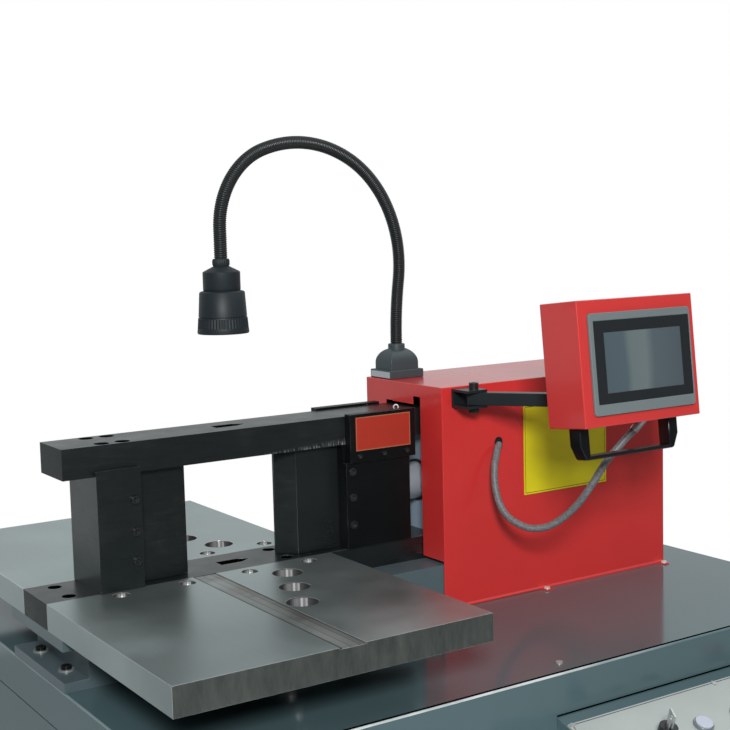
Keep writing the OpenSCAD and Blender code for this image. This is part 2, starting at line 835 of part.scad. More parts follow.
module ram_screws() color("#1d1f20") both_sides() {
    ram_screw_places() socket_screw(side_bolt_d, side_screw_grip);
    guide_screw_places() socket_screw(guide_screw_d, guide_t + guide_screw_grip);
}
module punch() color("#2b2c2d") translate([0, 0, table_top + slide_gap])
    linear_extrude(opening_h - 2 * slide_gap) polygon([
        [nose_x, -nose_flat / 2], [punch_x, -punch_w / 2], [carriage_x, -punch_w / 2],
        [carriage_x, punch_w / 2], [punch_x, punch_w / 2], [nose_x, nose_flat / 2]
    ]);
module guide_tag() color("#b02d2b")
    translate([guide_x + tag_inset, -carriage_w / 2 - guide_t - tag_t, guide_z + tag_rise])
        cube([tag_l, tag_t, tag_h]);
module piston_rod() color("#c4c8ca") {
    translate([carriage_end, 0, axis_z]) rod_x(rod_d, rod_l);
    translate([piston_x, 0, axis_z]) rod_x(bore_d - 2 * run_gap, piston_l);
}

// Cylinder
module tie_places() both_sides() for (side = [-1, 1])
    translate([head_x, tie_y, axis_z + side * tie_z]) children();
module front_head() color("#6b8596") difference() {
    slab(head_l, head_w, opening_h, head_x, table_top);
    translate([head_x - cut, 0, axis_z]) rod_x(rod_d + 2 * run_gap, head_l + 2 * cut);
    tie_places() translate([-cut, 0, 0]) rod_x(tie_d + 2 * hole_gap, head_l + 2 * cut);
    beam_bolt_places() screw_bore(beam_bolt_d, beam_h - beam_bolt_sink + beam_bolt_grip, 0);
}
module rod_gland() color("#26282a") translate([gland_x, 0, axis_z]) difference() {
    rod_x(gland_d, gland_l);
    translate([-cut, 0, 0]) rod_x(rod_d + 2 * run_gap, gland_l + 2 * cut);
}
module barrel() color("#6b8596") translate([barrel_x, 0, axis_z]) difference() {
    rod_x(bore_d + 2 * barrel_wall, barrel_l);
    translate([-cut, 0, 0]) rod_x(bore_d, barrel_l + 2 * cut);
}
module rear_cap() color("#6b8596") difference() {
    slab(rear_l, head_w, opening_h, rear_x, table_top);
    tie_places() translate([0, 0, 0]) rod_x(tie_d + 2 * hole_gap, rear_x + rear_l - head_x + cut);
    translate([rear_x + rear_l / 2, 0, table_top + opening_h - rear_l / 2]) cylinder(d = port_d, h = rear_l);
}
module tie_rods() color("#9aa0a2") tie_places() {
    nut_d = tie_d * tie_nut_share;
    translate([-tie_nut, 0, 0]) rod_x(tie_d, rear_x + rear_l - head_x + 2 * tie_nut);
    translate([-tie_nut, 0, 0]) rotate([0, 90, 0]) cylinder(d = nut_d, h = tie_nut, $fn = 6);
    translate([rear_x + rear_l - head_x, 0, 0]) rotate([0, 90, 0]) cylinder(d = nut_d, h = tie_nut, $fn = 6);
}

// Housing
module foot_tab_places() both_sides() for (x = [foot_screw_x, housing_l - foot_tab_l / 2])
    translate([housing_x + x, -housing_w / 2, cabinet_h]) children();
module foot_screw_places() foot_tab_places() translate([0, -foot_tab_w / 2, housing_t]) children();
module grommet_place() on_front(housing_x + grommet_x, housing_w / 2, cabinet_h + grommet_up) children();
module housing() color("#b3302f") difference() {
    union() {
        slab(housing_l, housing_w, housing_top - cabinet_h, housing_x, cabinet_h);
        foot_tab_places() translate([-foot_tab_l / 2, -foot_tab_w, 0])
            cube([foot_tab_l, foot_tab_w + housing_t, housing_t]);
    }
    slab(housing_l - 2 * housing_t, housing_w - 2 * housing_t, housing_top - cabinet_h, housing_x + housing_t,
        cabinet_h - housing_t);
    slab(housing_t + 2 * cut, housing_w - 2 * housing_t, bed_h + plate_t - left_face_low + cut,
        housing_x - cut, cabinet_h - cut);
    slab(housing_t + 2 * cut, beam_w + 2 * mouth_gap, beam_top + mouth_rise - cabinet_h,
        housing_x - cut, cabinet_h);
    slab(housing_t + 2 * cut, bar_w + 2 * mouth_gap, axis_z - cabinet_h, housing_x - cut, cabinet_h);
    translate([housing_x - cut, -notch_half, cabinet_h])
        cube([housing_t + 2 * cut, notch_w, beam_top + front_notch_up - cabinet_h]);
    translate([housing_x - cut, notch_half - notch_w, cabinet_h])
        cube([housing_t + 2 * cut, notch_w, beam_top + back_notch_up - cabinet_h]);
    foot_screw_places() translate([0, 0, -housing_t - cut])
        cylinder(d = foot_screw_d + 2 * hole_gap, h = housing_t + 2 * cut);
    grommet_place() translate([0, 0, -housing_t - cut]) stadium(grommet_hole, housing_t + 2 * cut);
}
module housing_screws() color("#8c2b2b") foot_screw_places() {
    cylinder(d = foot_screw_d * 2, h = foot_screw_d / 2);
    translate([0, 0, -housing_t - top_t]) cylinder(d = foot_screw_d, h = housing_t + top_t);
}
module notice_plate() color("#c9bf2a")
    translate([housing_x + notice_x, -housing_w / 2 - notice_t, cabinet_h + notice_up])
        cube([notice_w, notice_t, notice_h]);
module cable_grommet() color("#161718") grommet_place() {
    stadium([for (side = grommet_hole) side + 2 * grommet_lip], grommet_proud);
    translate([0, 0, -grommet_in]) stadium([for (side = grommet_hole) side - 2 * hole_gap], grommet_in);
}

// Lamp
lamp_x = housing_x + lamp_base_x + lamp_base_l / 2;
lamp_y = housing_w / 2 - lamp_base_back - lamp_base_w / 2;
collar_z = housing_top + lamp_flange_h + lamp_dome_h;
neck_z = collar_z + lamp_collar_h;
neck_bends = [[lean_r, -lean_turn], [arch_r, arch_sweep], [crown_r, crown_turn], [fall_r, fall_turn]];
neck_last = len(neck_bends) - 1;
function lean_before(i) = i == 0 ? 0 : lean_before(i - 1) + neck_bends[i - 1][1];
function bend_point(i, share) = let (
    turn = neck_bends[i][1] * share,
    r = sign(neck_bends[i][1]) * neck_bends[i][0],
    lean = lean_before(i)
) bend_end(i - 1) + r * [cos(lean) - cos(lean + turn), sin(lean + turn) - sin(lean)];
function bend_end(i) = i < 0 ? [0, neck_z + neck_rise] : bend_point(i, 1);
neck_end = bend_end(neck_last);
head_x_off = -neck_end[0];
head_drop_z = neck_end[1] - neck_drop;
function neck_ring(at, lean) = [for (k = [0 : neck_sides - 1]) let (a = k * 360 / neck_sides)
    [-at[0], 0, at[1]] + neck_d / 2 * [-sin(a) * cos(lean), cos(a), -sin(a) * sin(lean)]];
neck_rings = concat(
    [neck_ring([0, neck_z], 0)],
    [for (i = [0 : neck_last], k = [0 : bend_steps - 1])
        neck_ring(bend_point(i, k / bend_steps), lean_before(i) + neck_bends[i][1] * k / bend_steps)],
    [neck_ring(neck_end, 180), neck_ring(neck_end - [0, neck_drop], 180)]
);
module at_lamp() translate([lamp_x, lamp_y, 0]) rotate([0, 0, arch_turn]) children();
module vault(l, w) translate([0, -w / 2, 0]) {
    translate([-l / 2, 0, 0]) cube([l, w, lamp_dome_wall]);
    translate([0, 0, lamp_dome_wall]) rotate([-90, 0, 0]) intersection() {
        cylinder(d = l, h = w);
        translate([-l / 2, -l, 0]) cube([l, l, w]);
    }
}
module lamp_base() color("#26292b") {
    translate([lamp_x - lamp_base_l / 2, lamp_y - lamp_base_w / 2, housing_top])
        cube([lamp_base_l, lamp_base_w, lamp_flange_h]);
    translate([lamp_x, lamp_y, housing_top + lamp_flange_h]) {
        intersection() {
            vault(lamp_base_l - lamp_dome_inset, lamp_base_w - lamp_dome_inset);
            rotate([0, 0, 90]) vault(lamp_base_w - lamp_dome_inset, lamp_base_l - lamp_dome_inset);
        }
        cylinder(d = lamp_collar_d, h = lamp_dome_h + lamp_collar_h);
    }
}
module lamp_neck() color("#1f2122") at_lamp() swept(neck_rings);
module lamp_head() color("#2a2d2f") at_lamp() translate([head_x_off, 0, head_drop_z]) difference() {
    step_z = -lamp_nut_h - lamp_cone_h - lamp_body_h;
    union() {
        translate([0, 0, -lamp_nut_h]) cylinder(d = lamp_nut_d, h = lamp_nut_h);
        translate([0, 0, -lamp_nut_h - lamp_cone_h])
            cylinder(d1 = lamp_body_d, d2 = lamp_nut_d, h = lamp_cone_h);
        translate([0, 0, step_z]) cylinder(d = lamp_body_d, h = lamp_body_h);
        translate([0, 0, step_z - lamp_step_h])
            cylinder(d1 = lamp_d - 2 * lamp_flare, d2 = lamp_body_d, h = lamp_step_h);
        translate([0, 0, -lamp_h])
            cylinder(d1 = lamp_d, d2 = lamp_d - 2 * lamp_flare, h = lamp_h + step_z - lamp_step_h);
    }
    translate([0, 0, lamp_ring_h - lamp_h]) difference() {
        cylinder(d = lamp_d + cut, h = lamp_groove);
        translate([0, 0, -cut]) cylinder(d = lamp_d - lamp_flare, h = lamp_groove + 2 * cut);
    }
    translate([0, 0, -lamp_h - cut])
        cylinder(d = lamp_mouth_d, h = lamp_h + step_z - lamp_step_h - lamp_wall + cut);
}
module lamp_lens() color("#e6e8e4") at_lamp() translate([head_x_off, 0, head_drop_z - lamp_h + lens_deep])
    cylinder(d = lamp_mouth_d - 2 * hole_gap, h = lens_t);

// Screen on its arm
bracket_h = arm_s + 2 * arm_gap + 2 * bracket_t;
bracket_z = housing_top - bracket_drop - bracket_h;
arm_z = bracket_z + bracket_h / 2;
pivot_x = housing_x + bracket_x + pivot_along;
pivot_y = -housing_w / 2 - pivot_out;
arm_end = [pivot_x + arm_l * cos(arm_turn), pivot_y - arm_l * sin(arm_turn), arm_z];
module at_pivot(z) translate([pivot_x, pivot_y, z]) children();
module at_box() translate(arm_end) rotate([-box_tilt, 0, 0]) translate([-box_w / 2, 0, -arm_rise]) children();
module arm_bracket() color("#25282a") difference() {
    translate([housing_x + bracket_x, -housing_w / 2 - bracket_out, bracket_z])
        cube([bracket_l, bracket_out, bracket_h]);
    translate([housing_x + bracket_x - cut, -housing_w / 2 - bracket_out - cut, bracket_z + bracket_t])
        cube([bracket_l + 2 * cut, bracket_out - bracket_t + cut, bracket_h - 2 * bracket_t]);
    at_pivot(bracket_z - cut) cylinder(d = pivot_d + 2 * run_gap, h = bracket_h + 2 * cut);
}
module pivot_bolt() color("#1d1f20") {
    at_pivot(bracket_z + bracket_h) socket_screw(pivot_d, bracket_h + pivot_nut_h);
    at_pivot(bracket_z - pivot_nut_h) difference() {
        cylinder(d = pivot_d * tie_nut_share, h = pivot_nut_h, $fn = 6);
        translate([0, 0, -cut]) cylinder(d = pivot_d + 2 * hole_gap, h = pivot_nut_h + 2 * cut);
    }
}
module swing_arm() color("#25282a") {
    difference() {
        translate([pivot_x, pivot_y, arm_z]) rotate([0, 0, -arm_turn])
            translate([-arm_start, -arm_s / 2, -arm_s / 2]) difference() {
                cube([arm_l + 2 * arm_start, arm_s, arm_s]);
                translate([arm_start + arm_s, arm_wall, arm_wall])
                    cube([arm_l + 2 * arm_start, arm_s - 2 * arm_wall, arm_s - 2 * arm_wall]);
            }
        at_pivot(arm_z - arm_s) cylinder(d = pivot_d + 2 * run_gap, h = 2 * arm_s);
        translate(arm_end) rotate([-box_tilt, 0, 0]) translate([-box_w / 2, -box_d, -box_h / 2])
            cube([box_w, box_d, box_h]);
    }
    translate(arm_end) rotate([-box_tilt, 0, 0]) translate([-arm_plate_w / 2, 0, -arm_plate_h / 2])
        cube([arm_plate_w, arm_plate_t, arm_plate_h]);
}
module screen_box() color("#b53432") at_box() difference() {
    translate([0, -box_d, 0]) cube([box_w, box_d, box_h]);
    translate([box_t, -box_d + box_t, box_t]) cube([box_w - 2 * box_t, box_d - 2 * box_t, box_h - 2 * box_t]);
    translate([bezel_left + bezel_body_inset, -box_d - cut, box_h - bezel_top - bezel_h + bezel_body_inset])
        cube([bezel_w - 2 * bezel_body_inset, box_t + 2 * cut, bezel_h - 2 * bezel_body_inset]);
}
module screen_bezel() color("#6f7b7f") at_box()
    translate([bezel_left, -box_d, box_h - bezel_top - bezel_h]) difference() {
        union() {
            rotate([90, 0, 0]) linear_extrude(bezel_t) {
                translate([bezel_round, 0]) square([bezel_w - 2 * bezel_round, bezel_h]);
                translate([0, bezel_round]) square([bezel_w, bezel_h - 2 * bezel_round]);
                for (x = [bezel_round, bezel_w - bezel_round], z = [bezel_round, bezel_h - bezel_round])
                    translate([x, z]) circle(r = bezel_round);
            }
            translate([bezel_body_inset + hole_gap, 0, bezel_body_inset + hole_gap])
                cube([bezel_w - 2 * (bezel_body_inset + hole_gap), bezel_body_in,
                    bezel_h - 2 * (bezel_body_inset + hole_gap)]);
        }
        translate([glass_left, -bezel_t - cut, bezel_h - glass_top - glass_h])
            cube([glass_w, glass_deep + cut, glass_h]);
    }
module screen_glass() color("#1b1e20") at_box()
    translate([bezel_left + glass_left + hole_gap, -box_d - bezel_t + glass_sunk,
        box_h - bezel_top - glass_top - glass_h + hole_gap])
        cube([glass_w - 2 * hole_gap, glass_deep - glass_sunk, glass_h - 2 * hole_gap]);
module box_handle() color("#1c1e1f") at_box()
    translate([handle_x, -box_d / 2 + handle_deep / 2, 0]) rotate([90, 0, 0])
        linear_extrude(handle_deep) difference() {
            polygon([
                [0, 0], [0, -handle_drop * handle_slope_share], [handle_taper, -handle_drop],
                [handle_l - handle_taper, -handle_drop], [handle_l, -handle_drop * handle_slope_share],
                [handle_l, 0]
            ]);
            translate([handle_leg, -handle_drop + handle_bar])
                square([handle_l - 2 * handle_leg, handle_drop]);
        }

module cable_fitting() color("#a9adaf") at_box() translate([fitting_x, -fitting_y, 0]) difference() {
    union() {
        translate([0, 0, -fitting_nut_h]) cylinder(d = fitting_nut_d, h = fitting_nut_h, $fn = 6);
        rotate([0, 180 - fitting_lean, fitting_aim]) cylinder(d = fitting_d, h = fitting_l);
    }
    translate([-fitting_nut_d, -fitting_nut_d, 0])
        cube([2 * fitting_nut_d, 2 * fitting_nut_d, fitting_nut_d]);
}

// Cable: a ring of points square to the route at each of its points, joined into one tube
function tilted(v) = [
    v[0],
    v[1] * cos(box_tilt) + v[2] * sin(box_tilt),
    v[2] * cos(box_tilt) - v[1] * sin(box_tilt)
];
fitting_way = [
    sin(fitting_lean) * cos(fitting_aim),
    sin(fitting_lean) * sin(fitting_aim),
    -cos(fitting_lean)
];
fitting_end = arm_end
    + tilted([fitting_x - box_w / 2, -fitting_y, -arm_rise] + (fitting_l + cable_end_gap) * fitting_way);
cable_start = [housing_x + grommet_x, -housing_w / 2, cabinet_h + grommet_up];
cable_last = len(cable_route) - 1;
cable_pull = fitting_end - cable_start - cable_route[cable_last];
route = [for (i = [0 : cable_last]) cable_start + cable_route[i] + cable_pull * i / cable_last];
function unit(v) = v / norm(v);
function heading(i) = i == 0 ? [0, -1, 0]
    : i == cable_last ? -tilted(fitting_way)
    : unit(route[i + 1] - route[i - 1]);
function ring(i) = let (
    along = heading(i),
    across = unit(cross(along, [1, 0, 0])),
    over = cross(along, across)
) [for (k = [0 : cable_sides - 1]) let (a = k * 360 / cable_sides)
    route[i] + cable_d / 2 * (cos(a) * across + sin(a) * over)];
module cable() color("#8b9094") swept([for (i = [0 : cable_last]) ring(i)]);

// Hydraulic power unit and electrical box, standing in the base pan
module power_unit() color("#4d6a80") translate([0, 0, sheet]) {
    translate([tank_x - tank_l / 2, -tank_w / 2, 0]) cube([tank_l, tank_w, tank_h]);
    translate([tank_x - motor_off, 0, tank_h]) cylinder(d = motor_d, h = motor_h);
    translate([tank_x + valve_off - valve_l / 2, -valve_w / 2, tank_h]) cube([valve_l, valve_w, valve_h]);
    translate([tank_x + valve_off + valve_l / 2, 0, tank_h + valve_h / 2]) rod_x(solenoid_d, solenoid_l);
}
module electrical_box() color("#8f989b") translate([panel_box_x - panel_box_l / 2, -panel_box_w / 2, sheet])
    cube([panel_box_l, panel_box_w, panel_box_h]);

base_pan();
cabinet_shell();
left_panel();
right_panel();
back_panel();
panel_screws();
console_box();
control_plate();
control_screws();
key_lock();
key();
button_bezels();
white_button();
black_button();
stop_button();
bed();
bed_bolts();
lower_bar();
front_table();
back_table();
table_bolts();
scale_strips();
upper_beam();
beam_bolts();
beam_eyelet();
die_column();
die_side_plates();
die_screws();
die();
carriage();
ram_side_plates();
ram_guides();
ram_screws();
punch();
guide_tag();
piston_rod();
front_head();
rod_gland();
barrel();
rear_cap();
tie_rods();
housing();
housing_screws();
notice_plate();
cable_grommet();
lamp_base();
lamp_neck();
lamp_head();
lamp_lens();
arm_bracket();
pivot_bolt();
swing_arm();
screen_box();
screen_bezel();
screen_glass();
box_handle();
cable_fitting();
cable();
power_unit();
electrical_box();
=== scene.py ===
import json
import math

import bmesh
import bpy
from mathutils import Matrix, Vector


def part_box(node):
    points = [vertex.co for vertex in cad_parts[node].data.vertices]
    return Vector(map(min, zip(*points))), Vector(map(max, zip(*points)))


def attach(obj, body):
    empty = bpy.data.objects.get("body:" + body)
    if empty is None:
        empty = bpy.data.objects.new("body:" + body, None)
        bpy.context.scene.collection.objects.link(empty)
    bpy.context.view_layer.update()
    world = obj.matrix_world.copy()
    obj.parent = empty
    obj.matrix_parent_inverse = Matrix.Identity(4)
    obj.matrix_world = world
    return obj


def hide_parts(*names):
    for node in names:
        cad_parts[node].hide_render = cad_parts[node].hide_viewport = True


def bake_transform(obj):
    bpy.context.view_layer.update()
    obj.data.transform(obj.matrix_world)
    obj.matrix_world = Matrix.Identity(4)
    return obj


# The busbar bending machine as the photo shows it: materials, softened edges, cords, camera and light.
# Lengths are in metres, in the frame of the CAD part.
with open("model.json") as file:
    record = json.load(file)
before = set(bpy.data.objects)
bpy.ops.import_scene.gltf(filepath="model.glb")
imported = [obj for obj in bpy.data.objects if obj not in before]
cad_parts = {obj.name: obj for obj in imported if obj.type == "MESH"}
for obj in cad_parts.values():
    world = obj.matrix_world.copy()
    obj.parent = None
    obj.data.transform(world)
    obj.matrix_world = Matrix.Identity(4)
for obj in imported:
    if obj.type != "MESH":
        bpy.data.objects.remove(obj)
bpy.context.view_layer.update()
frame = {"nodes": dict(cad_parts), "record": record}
scene = bpy.context.scene
nodes = frame["nodes"]
body_of_node = {n: b for b, ns in frame["record"]["behaviour"]["bodies"].items() for n in ns}

# Camera, fitted to the photo by the table's and the housing's edges; its lens and sensor in millimetres
AZIMUTH = math.radians(-32.91)
PITCH = math.radians(6.10)
ROLL = math.radians(-1.45)
CAMERA_AT = (-1.1776, -1.7471, 1.3799)
LENS = 65.11
SENSOR = 36
FARTHEST = 50
back = Vector((math.sin(AZIMUTH) * math.cos(PITCH), -math.cos(AZIMUTH) * math.cos(PITCH), math.sin(PITCH)))
level = Vector((math.cos(AZIMUTH), math.sin(AZIMUTH), 0))
upward = back.cross(level)
right = level * math.cos(ROLL) + upward * math.sin(ROLL)
up = upward * math.cos(ROLL) - level * math.sin(ROLL)
camera = bpy.data.objects.new("camera", bpy.data.cameras.new("camera"))
scene.collection.objects.link(camera)
camera.data.lens = LENS
camera.data.sensor_width = SENSOR
camera.data.clip_end = FARTHEST
camera.matrix_world = Matrix.Translation(CAMERA_AT) @ Matrix((right, up, back)).transposed().to_4x4()
scene.camera = camera


# Named values of the materials: colours first, then places and shares
CABINET = (0.088, 0.146, 0.160)
RED = (0.72, 0.037, 0.035)
# The pale red of the painted highlight on the housing's fold
FOLD_HIGHLIGHT = (0.92, 0.092, 0.086)
BOX_RED = (0.70, 0.046, 0.043)
BLACK_BOLT = (0.016, 0.0175, 0.018)
BLACK_WEAR = (0.010, 0.0125, 0.013)
BARE_STEEL = (0.30, 0.32, 0.32)
# The black that darken puts on: painted shade in hollows, slots and under the tables, and the dark joint of
# the cabinet's top
HOLE_BLACK = (0.0015, 0.0015, 0.0015)
# A surface deeper in its piece than this lies in a hole or a slot
RECESS = 0.0012
# A surface looks along an axis when its direction has more of that axis than this
FACING_SHARE = 0.7
# The joint behind the front edge of the cabinet's top, and the painted highlight on the fold above the
# housing's foot
JOINT_SPAN = (0.0025, 0.0075)
FOLD_SPAN = (0.0022, 0.0055)
# The places along X between which the painted highlight on the cabinet's top edge fades out
HIGHLIGHT_FADE = (-0.05, 0.2)
# Where the ram's guides scrape the beam, along it and up its front
SCRAPE_ALONG = (-0.30, -0.10)
SCRAPE_END = -0.06
SCRAPE_HIGH = 0.012
# Below the first height the cabinet's screws are black, and below the second lie the bed's zinc washers
SCREW_SPLIT = 0.765
WASHER_TOP = 0.7866
# The level direction, along X and against Y, in which the painted glints and shade on the bores' walls
# change
GLINT_WAY = (0.84, 0.54)
# The screen's glass inside its black rim, as shares of the whole face
GLASS_WIDE_SHARES = (0.096, 0.9)
GLASS_TALL_SHARES = (0.126, 0.857)


# Building blocks of the node materials
def new_material(name):
    m = bpy.data.materials.new(name)
    m.use_nodes = True
    tree = m.node_tree
    return m, tree, tree.nodes["Principled BSDF"]


def add(tree, kind, **sockets):
    n = tree.nodes.new(kind)
    for key, value in sockets.items():
        if key in n.inputs:
            n.inputs[key].default_value = value
        else:
            setattr(n, key, value)
    return n


def place(tree, scale=(1, 1, 1)):
    coords = add(tree, "ShaderNodeTexCoord")
    mapping = add(tree, "ShaderNodeMapping")
    mapping.inputs["Scale"].default_value = scale
    tree.links.new(coords.outputs["Object"], mapping.inputs["Vector"])
    return mapping.outputs["Vector"]


def position(tree):
    """The place on the machine in metres, split along X, Y and Z."""
    split = add(tree, "ShaderNodeSeparateXYZ")
    tree.links.new(place(tree), split.inputs["Vector"])
    return split.outputs


def across(tree):
    """The place on a piece as shares of its own box, along X, Y and Z."""
    coords = add(tree, "ShaderNodeTexCoord")
    split = add(tree, "ShaderNodeSeparateXYZ")
    tree.links.new(coords.outputs["Generated"], split.inputs["Vector"])
    return split.outputs


def noise(tree, where, scale, detail=4, rough=0.55):
    n = add(tree, "ShaderNodeTexNoise", Scale=scale, Detail=detail, Roughness=rough)
    tree.links.new(where, n.inputs["Vector"])
    return n.outputs["Fac"]


def ramp(tree, fac, stops):
    n = add(tree, "ShaderNodeValToRGB")
    while len(n.color_ramp.elements) < len(stops):
        n.color_ramp.elements.new(0.5)
    for e, (at, colour) in zip(n.color_ramp.elements, stops):
        e.position = at
        e.color = (*colour, 1)
    tree.links.new(fac, n.inputs["Fac"])
    return n.outputs["Color"]


def span(tree, fac, low, high, start=0.3, end=0.7):
    n = add(tree, "ShaderNodeMapRange")
    n.inputs["From Min"].default_value = start
    n.inputs["From Max"].default_value = end
    n.inputs["To Min"].default_value = low
    n.inputs["To Max"].default_value = high
    tree.links.new(fac, n.inputs["Value"])
    return n.outputs["Result"]


def maths(tree, operation, a, b):
    n = add(tree, "ShaderNodeMath", operation=operation)
    for socket, value in zip(n.inputs, (a, b)):
        if isinstance(value, (int, float)):
            socket.default_value = value
        else:
            tree.links.new(value, socket)
    return n.outputs[0]


def blended(tree, share, a, b):
    """A number between two others, at a share that is a number or a socket."""
    n = add(tree, "ShaderNodeMix", data_type="FLOAT")
    for name, value in (("Factor", share), ("A", a), ("B", b)):
        if isinstance(value, (int, float)):
            n.inputs[name].default_value = value
        else:
            tree.links.new(value, n.inputs[name])
    return n.outputs["Result"]


def painted_over(tree, share, below, above):
    """Two colours, each three numbers or a socket, mixed at a share."""
    n = add(tree, "ShaderNodeMix", data_type="RGBA")
    tree.links.new(share, n.inputs["Factor"])
    for socket, colour in ((n.inputs[6], below), (n.inputs[7], above)):
        if isinstance(colour, tuple):
            socket.default_value = (*colour, 1)
        else:
            tree.links.new(colour, socket)
    return n.outputs[2]


def between(tree, value, low, high):
    """One where a value lies between two others, else nought."""
    over = maths(tree, "GREATER_THAN", value, low)
    under = maths(tree, "LESS_THAN", value, high)
    return maths(tree, "MULTIPLY", over, under)


def main_box(node):
    """The node's box, without the small tabs at the housing's foot."""
    low, high = (Vector(corner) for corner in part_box(node))
    if node == "housing":
        low.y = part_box("notice_plate")[1].y
        high.y = -low.y
    return low, high


def inside(tree, node, margin):
    """One where a surface lies deeper in the node's box than the margin, as in a hole or a slot."""
    spots = position(tree)
    nearest = 1.0
    for axis, low, high in zip("XYZ", *main_box(node)):
        off_middle = maths(tree, "ABSOLUTE", maths(tree, "SUBTRACT", spots[axis], (low + high) / 2), 0.0)
        to_face = maths(tree, "SUBTRACT", (high - low) / 2, off_middle)
        nearest = maths(tree, "MINIMUM", nearest, to_face)
    return maths(tree, "GREATER_THAN", nearest, margin)


def facing(tree):
    """The surface's own direction, split along X, Y and Z."""
    split = add(tree, "ShaderNodeSeparateXYZ")
    tree.links.new(add(tree, "ShaderNodeNewGeometry").outputs["True Normal"], split.inputs["Vector"])
    return split.outputs


def colour_over(tree, shader, share, colour):
    """Puts another colour over the shader's own wherever the share is one."""
    socket = shader.inputs["Base Color"]
    tree.links.new(painted_over(tree, share, socket.links[0].from_socket, colour), socket)


def darken(tree, shader, share):
    """Takes the colour and the shine off wherever the share is one."""
    dark_of_socket = {"Base Color": HOLE_BLACK, "Roughness": 0.9, "Specular IOR Level": 0.0}
    for name, dark in dark_of_socket.items():
        socket = shader.inputs[name]
        was = socket.links[0].from_socket if socket.is_linked else socket.default_value
        if name == "Base Color":
            tree.links.new(painted_over(tree, share, was, dark), socket)
        else:
            tree.links.new(blended(tree, share, was, dark), socket)


def bump(tree, shader, height, strength, distance):
    n = add(tree, "ShaderNodeBump", Strength=strength, Distance=distance)
    tree.links.new(height, n.inputs["Height"])
    tree.links.new(n.outputs["Normal"], shader.inputs["Normal"])


def shade(colour, k):
    return tuple(c * k for c in colour)


# Materials
def paint(name, colour, rough=0.4, vary=0.08, coat=0.0, grain=0.1, metal=0.0, scale=6.0, shine=0.5,
          hollow=None):
    """A painted, plated or moulded surface with a little unevenness, and painted shade in the hollows of a
    node.
    """
    m, tree, shader = new_material(name)
    where = place(tree)
    broad = noise(tree, where, scale)
    tree.links.new(ramp(tree, broad, [(0.3, shade(colour, 1 - vary)), (0.7, shade(colour, 1 + vary))]),
                   shader.inputs["Base Color"])
    tree.links.new(span(tree, broad, rough * 0.85, rough * 1.15), shader.inputs["Roughness"])
    shader.inputs["Metallic"].default_value = metal
    shader.inputs["Specular IOR Level"].default_value = shine
    shader.inputs["Coat Weight"].default_value = coat
    shader.inputs["Coat Roughness"].default_value = 0.1
    bump(tree, shader, noise(tree, where, 900, 2), grain, 0.0003)
    if hollow:
        # Painted shade in the node's hollows, with the coat taken off there
        dark = inside(tree, hollow, RECESS)
        darken(tree, shader, dark)
        tree.links.new(blended(tree, dark, coat, 0.0), shader.inputs["Coat Weight"])
    return m


def shell_paint(name):
    """The cabinet's paint, with the dark joint along the front edge of its top and painted shade inside the
    cabinet.
    """
    m = paint(name, CABINET, 0.12, 0.04, grain=0.02, scale=3, hollow="cabinet_shell")
    tree = m.node_tree
    front_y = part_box("cabinet_shell")[0].y
    joint = between(tree, position(tree)["Y"], *(front_y + inset for inset in JOINT_SPAN))
    on_top = maths(tree, "GREATER_THAN", facing(tree)["Z"], FACING_SHARE)
    darken(tree, tree.nodes["Principled BSDF"], maths(tree, "MULTIPLY", joint, on_top))
    return m


def shell_edge_highlight(name):
    """The cabinet's top edge as a painted highlight: a little paler than the paint all along, and pale along
    the front's left half.
    """
    m, tree, shader = new_material(name)
    by_table = span(tree, position(tree)["X"], 1.0, 0.0, *HIGHLIGHT_FADE)
    normal = facing(tree)
    on_front = span(tree, normal["Y"], 1.0, 0.15, -0.2, -0.1)
    on_top = maths(tree, "GREATER_THAN", normal["Z"], 0.15)
    # Where the pale painted highlight lies: on the front and top of the edge, fading out along X
    edge_highlight = maths(tree, "MULTIPLY", by_table, maths(tree, "MULTIPLY", on_front, on_top))
    uneven = noise(tree, place(tree), 20, 4)
    pale = ramp(tree, uneven, [(0.3, (0.40, 0.46, 0.47)), (0.6, (0.68, 0.73, 0.73))])
    tree.links.new(painted_over(tree, edge_highlight, shade(CABINET, 1.3), pale), shader.inputs["Base Color"])
    shader.inputs["Roughness"].default_value = 0.3
    return m


def housing_paint(name):
    """Red paint, with a paler line of painted highlight where the sheet is folded at its foot, and painted
    shade inside.
    """
    m = paint(name, RED, 0.3, 0.05, coat=0.55, grain=0.03, scale=4, hollow="housing")
    tree = m.node_tree
    foot_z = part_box("housing")[0].z
    # A paler red line painted as a highlight along the fold
    fold = between(tree, position(tree)["Z"], *(foot_z + height for height in FOLD_SPAN))
    colour_over(tree, tree.nodes["Principled BSDF"], fold, FOLD_HIGHLIGHT)
    return m


def black_steel(name, colour=(0.0080, 0.0115, 0.0125), stain=(0.015, 0.019, 0.0195), rough=0.3, shine=0.5,
                hollow=None):
    """Blackened machined steel: dark, with faint streaks, a soft grazing shine and dull sawn ends."""
    m, tree, shader = new_material(name)
    where = place(tree)
    broad = noise(tree, where, 11, 6, 0.6)
    streaks = noise(tree, place(tree, (4, 4, 45)), 8, 3)
    both = blended(tree, 0.35, broad, streaks)
    tree.links.new(ramp(tree, both, [(0.36, shade(colour, 0.8)), (0.55, colour), (0.72, stain)]),
                   shader.inputs["Base Color"])
    tree.links.new(span(tree, both, rough - 0.07, rough + 0.09), shader.inputs["Roughness"])
    shader.inputs["IOR"].default_value = 1.6
    shader.inputs["Specular IOR Level"].default_value = shine
    bump(tree, shader, noise(tree, where, 500, 3), 0.06, 0.0003)
    if hollow:
        sawn_end = maths(tree, "LESS_THAN", facing(tree)["X"], -FACING_SHARE)
        tree.links.new(blended(tree, sawn_end, shine, shine * 0.15), shader.inputs["Specular IOR Level"])
        # Painted shade in the node's holes and slots
        darken(tree, shader, inside(tree, hollow, RECESS))
    return m


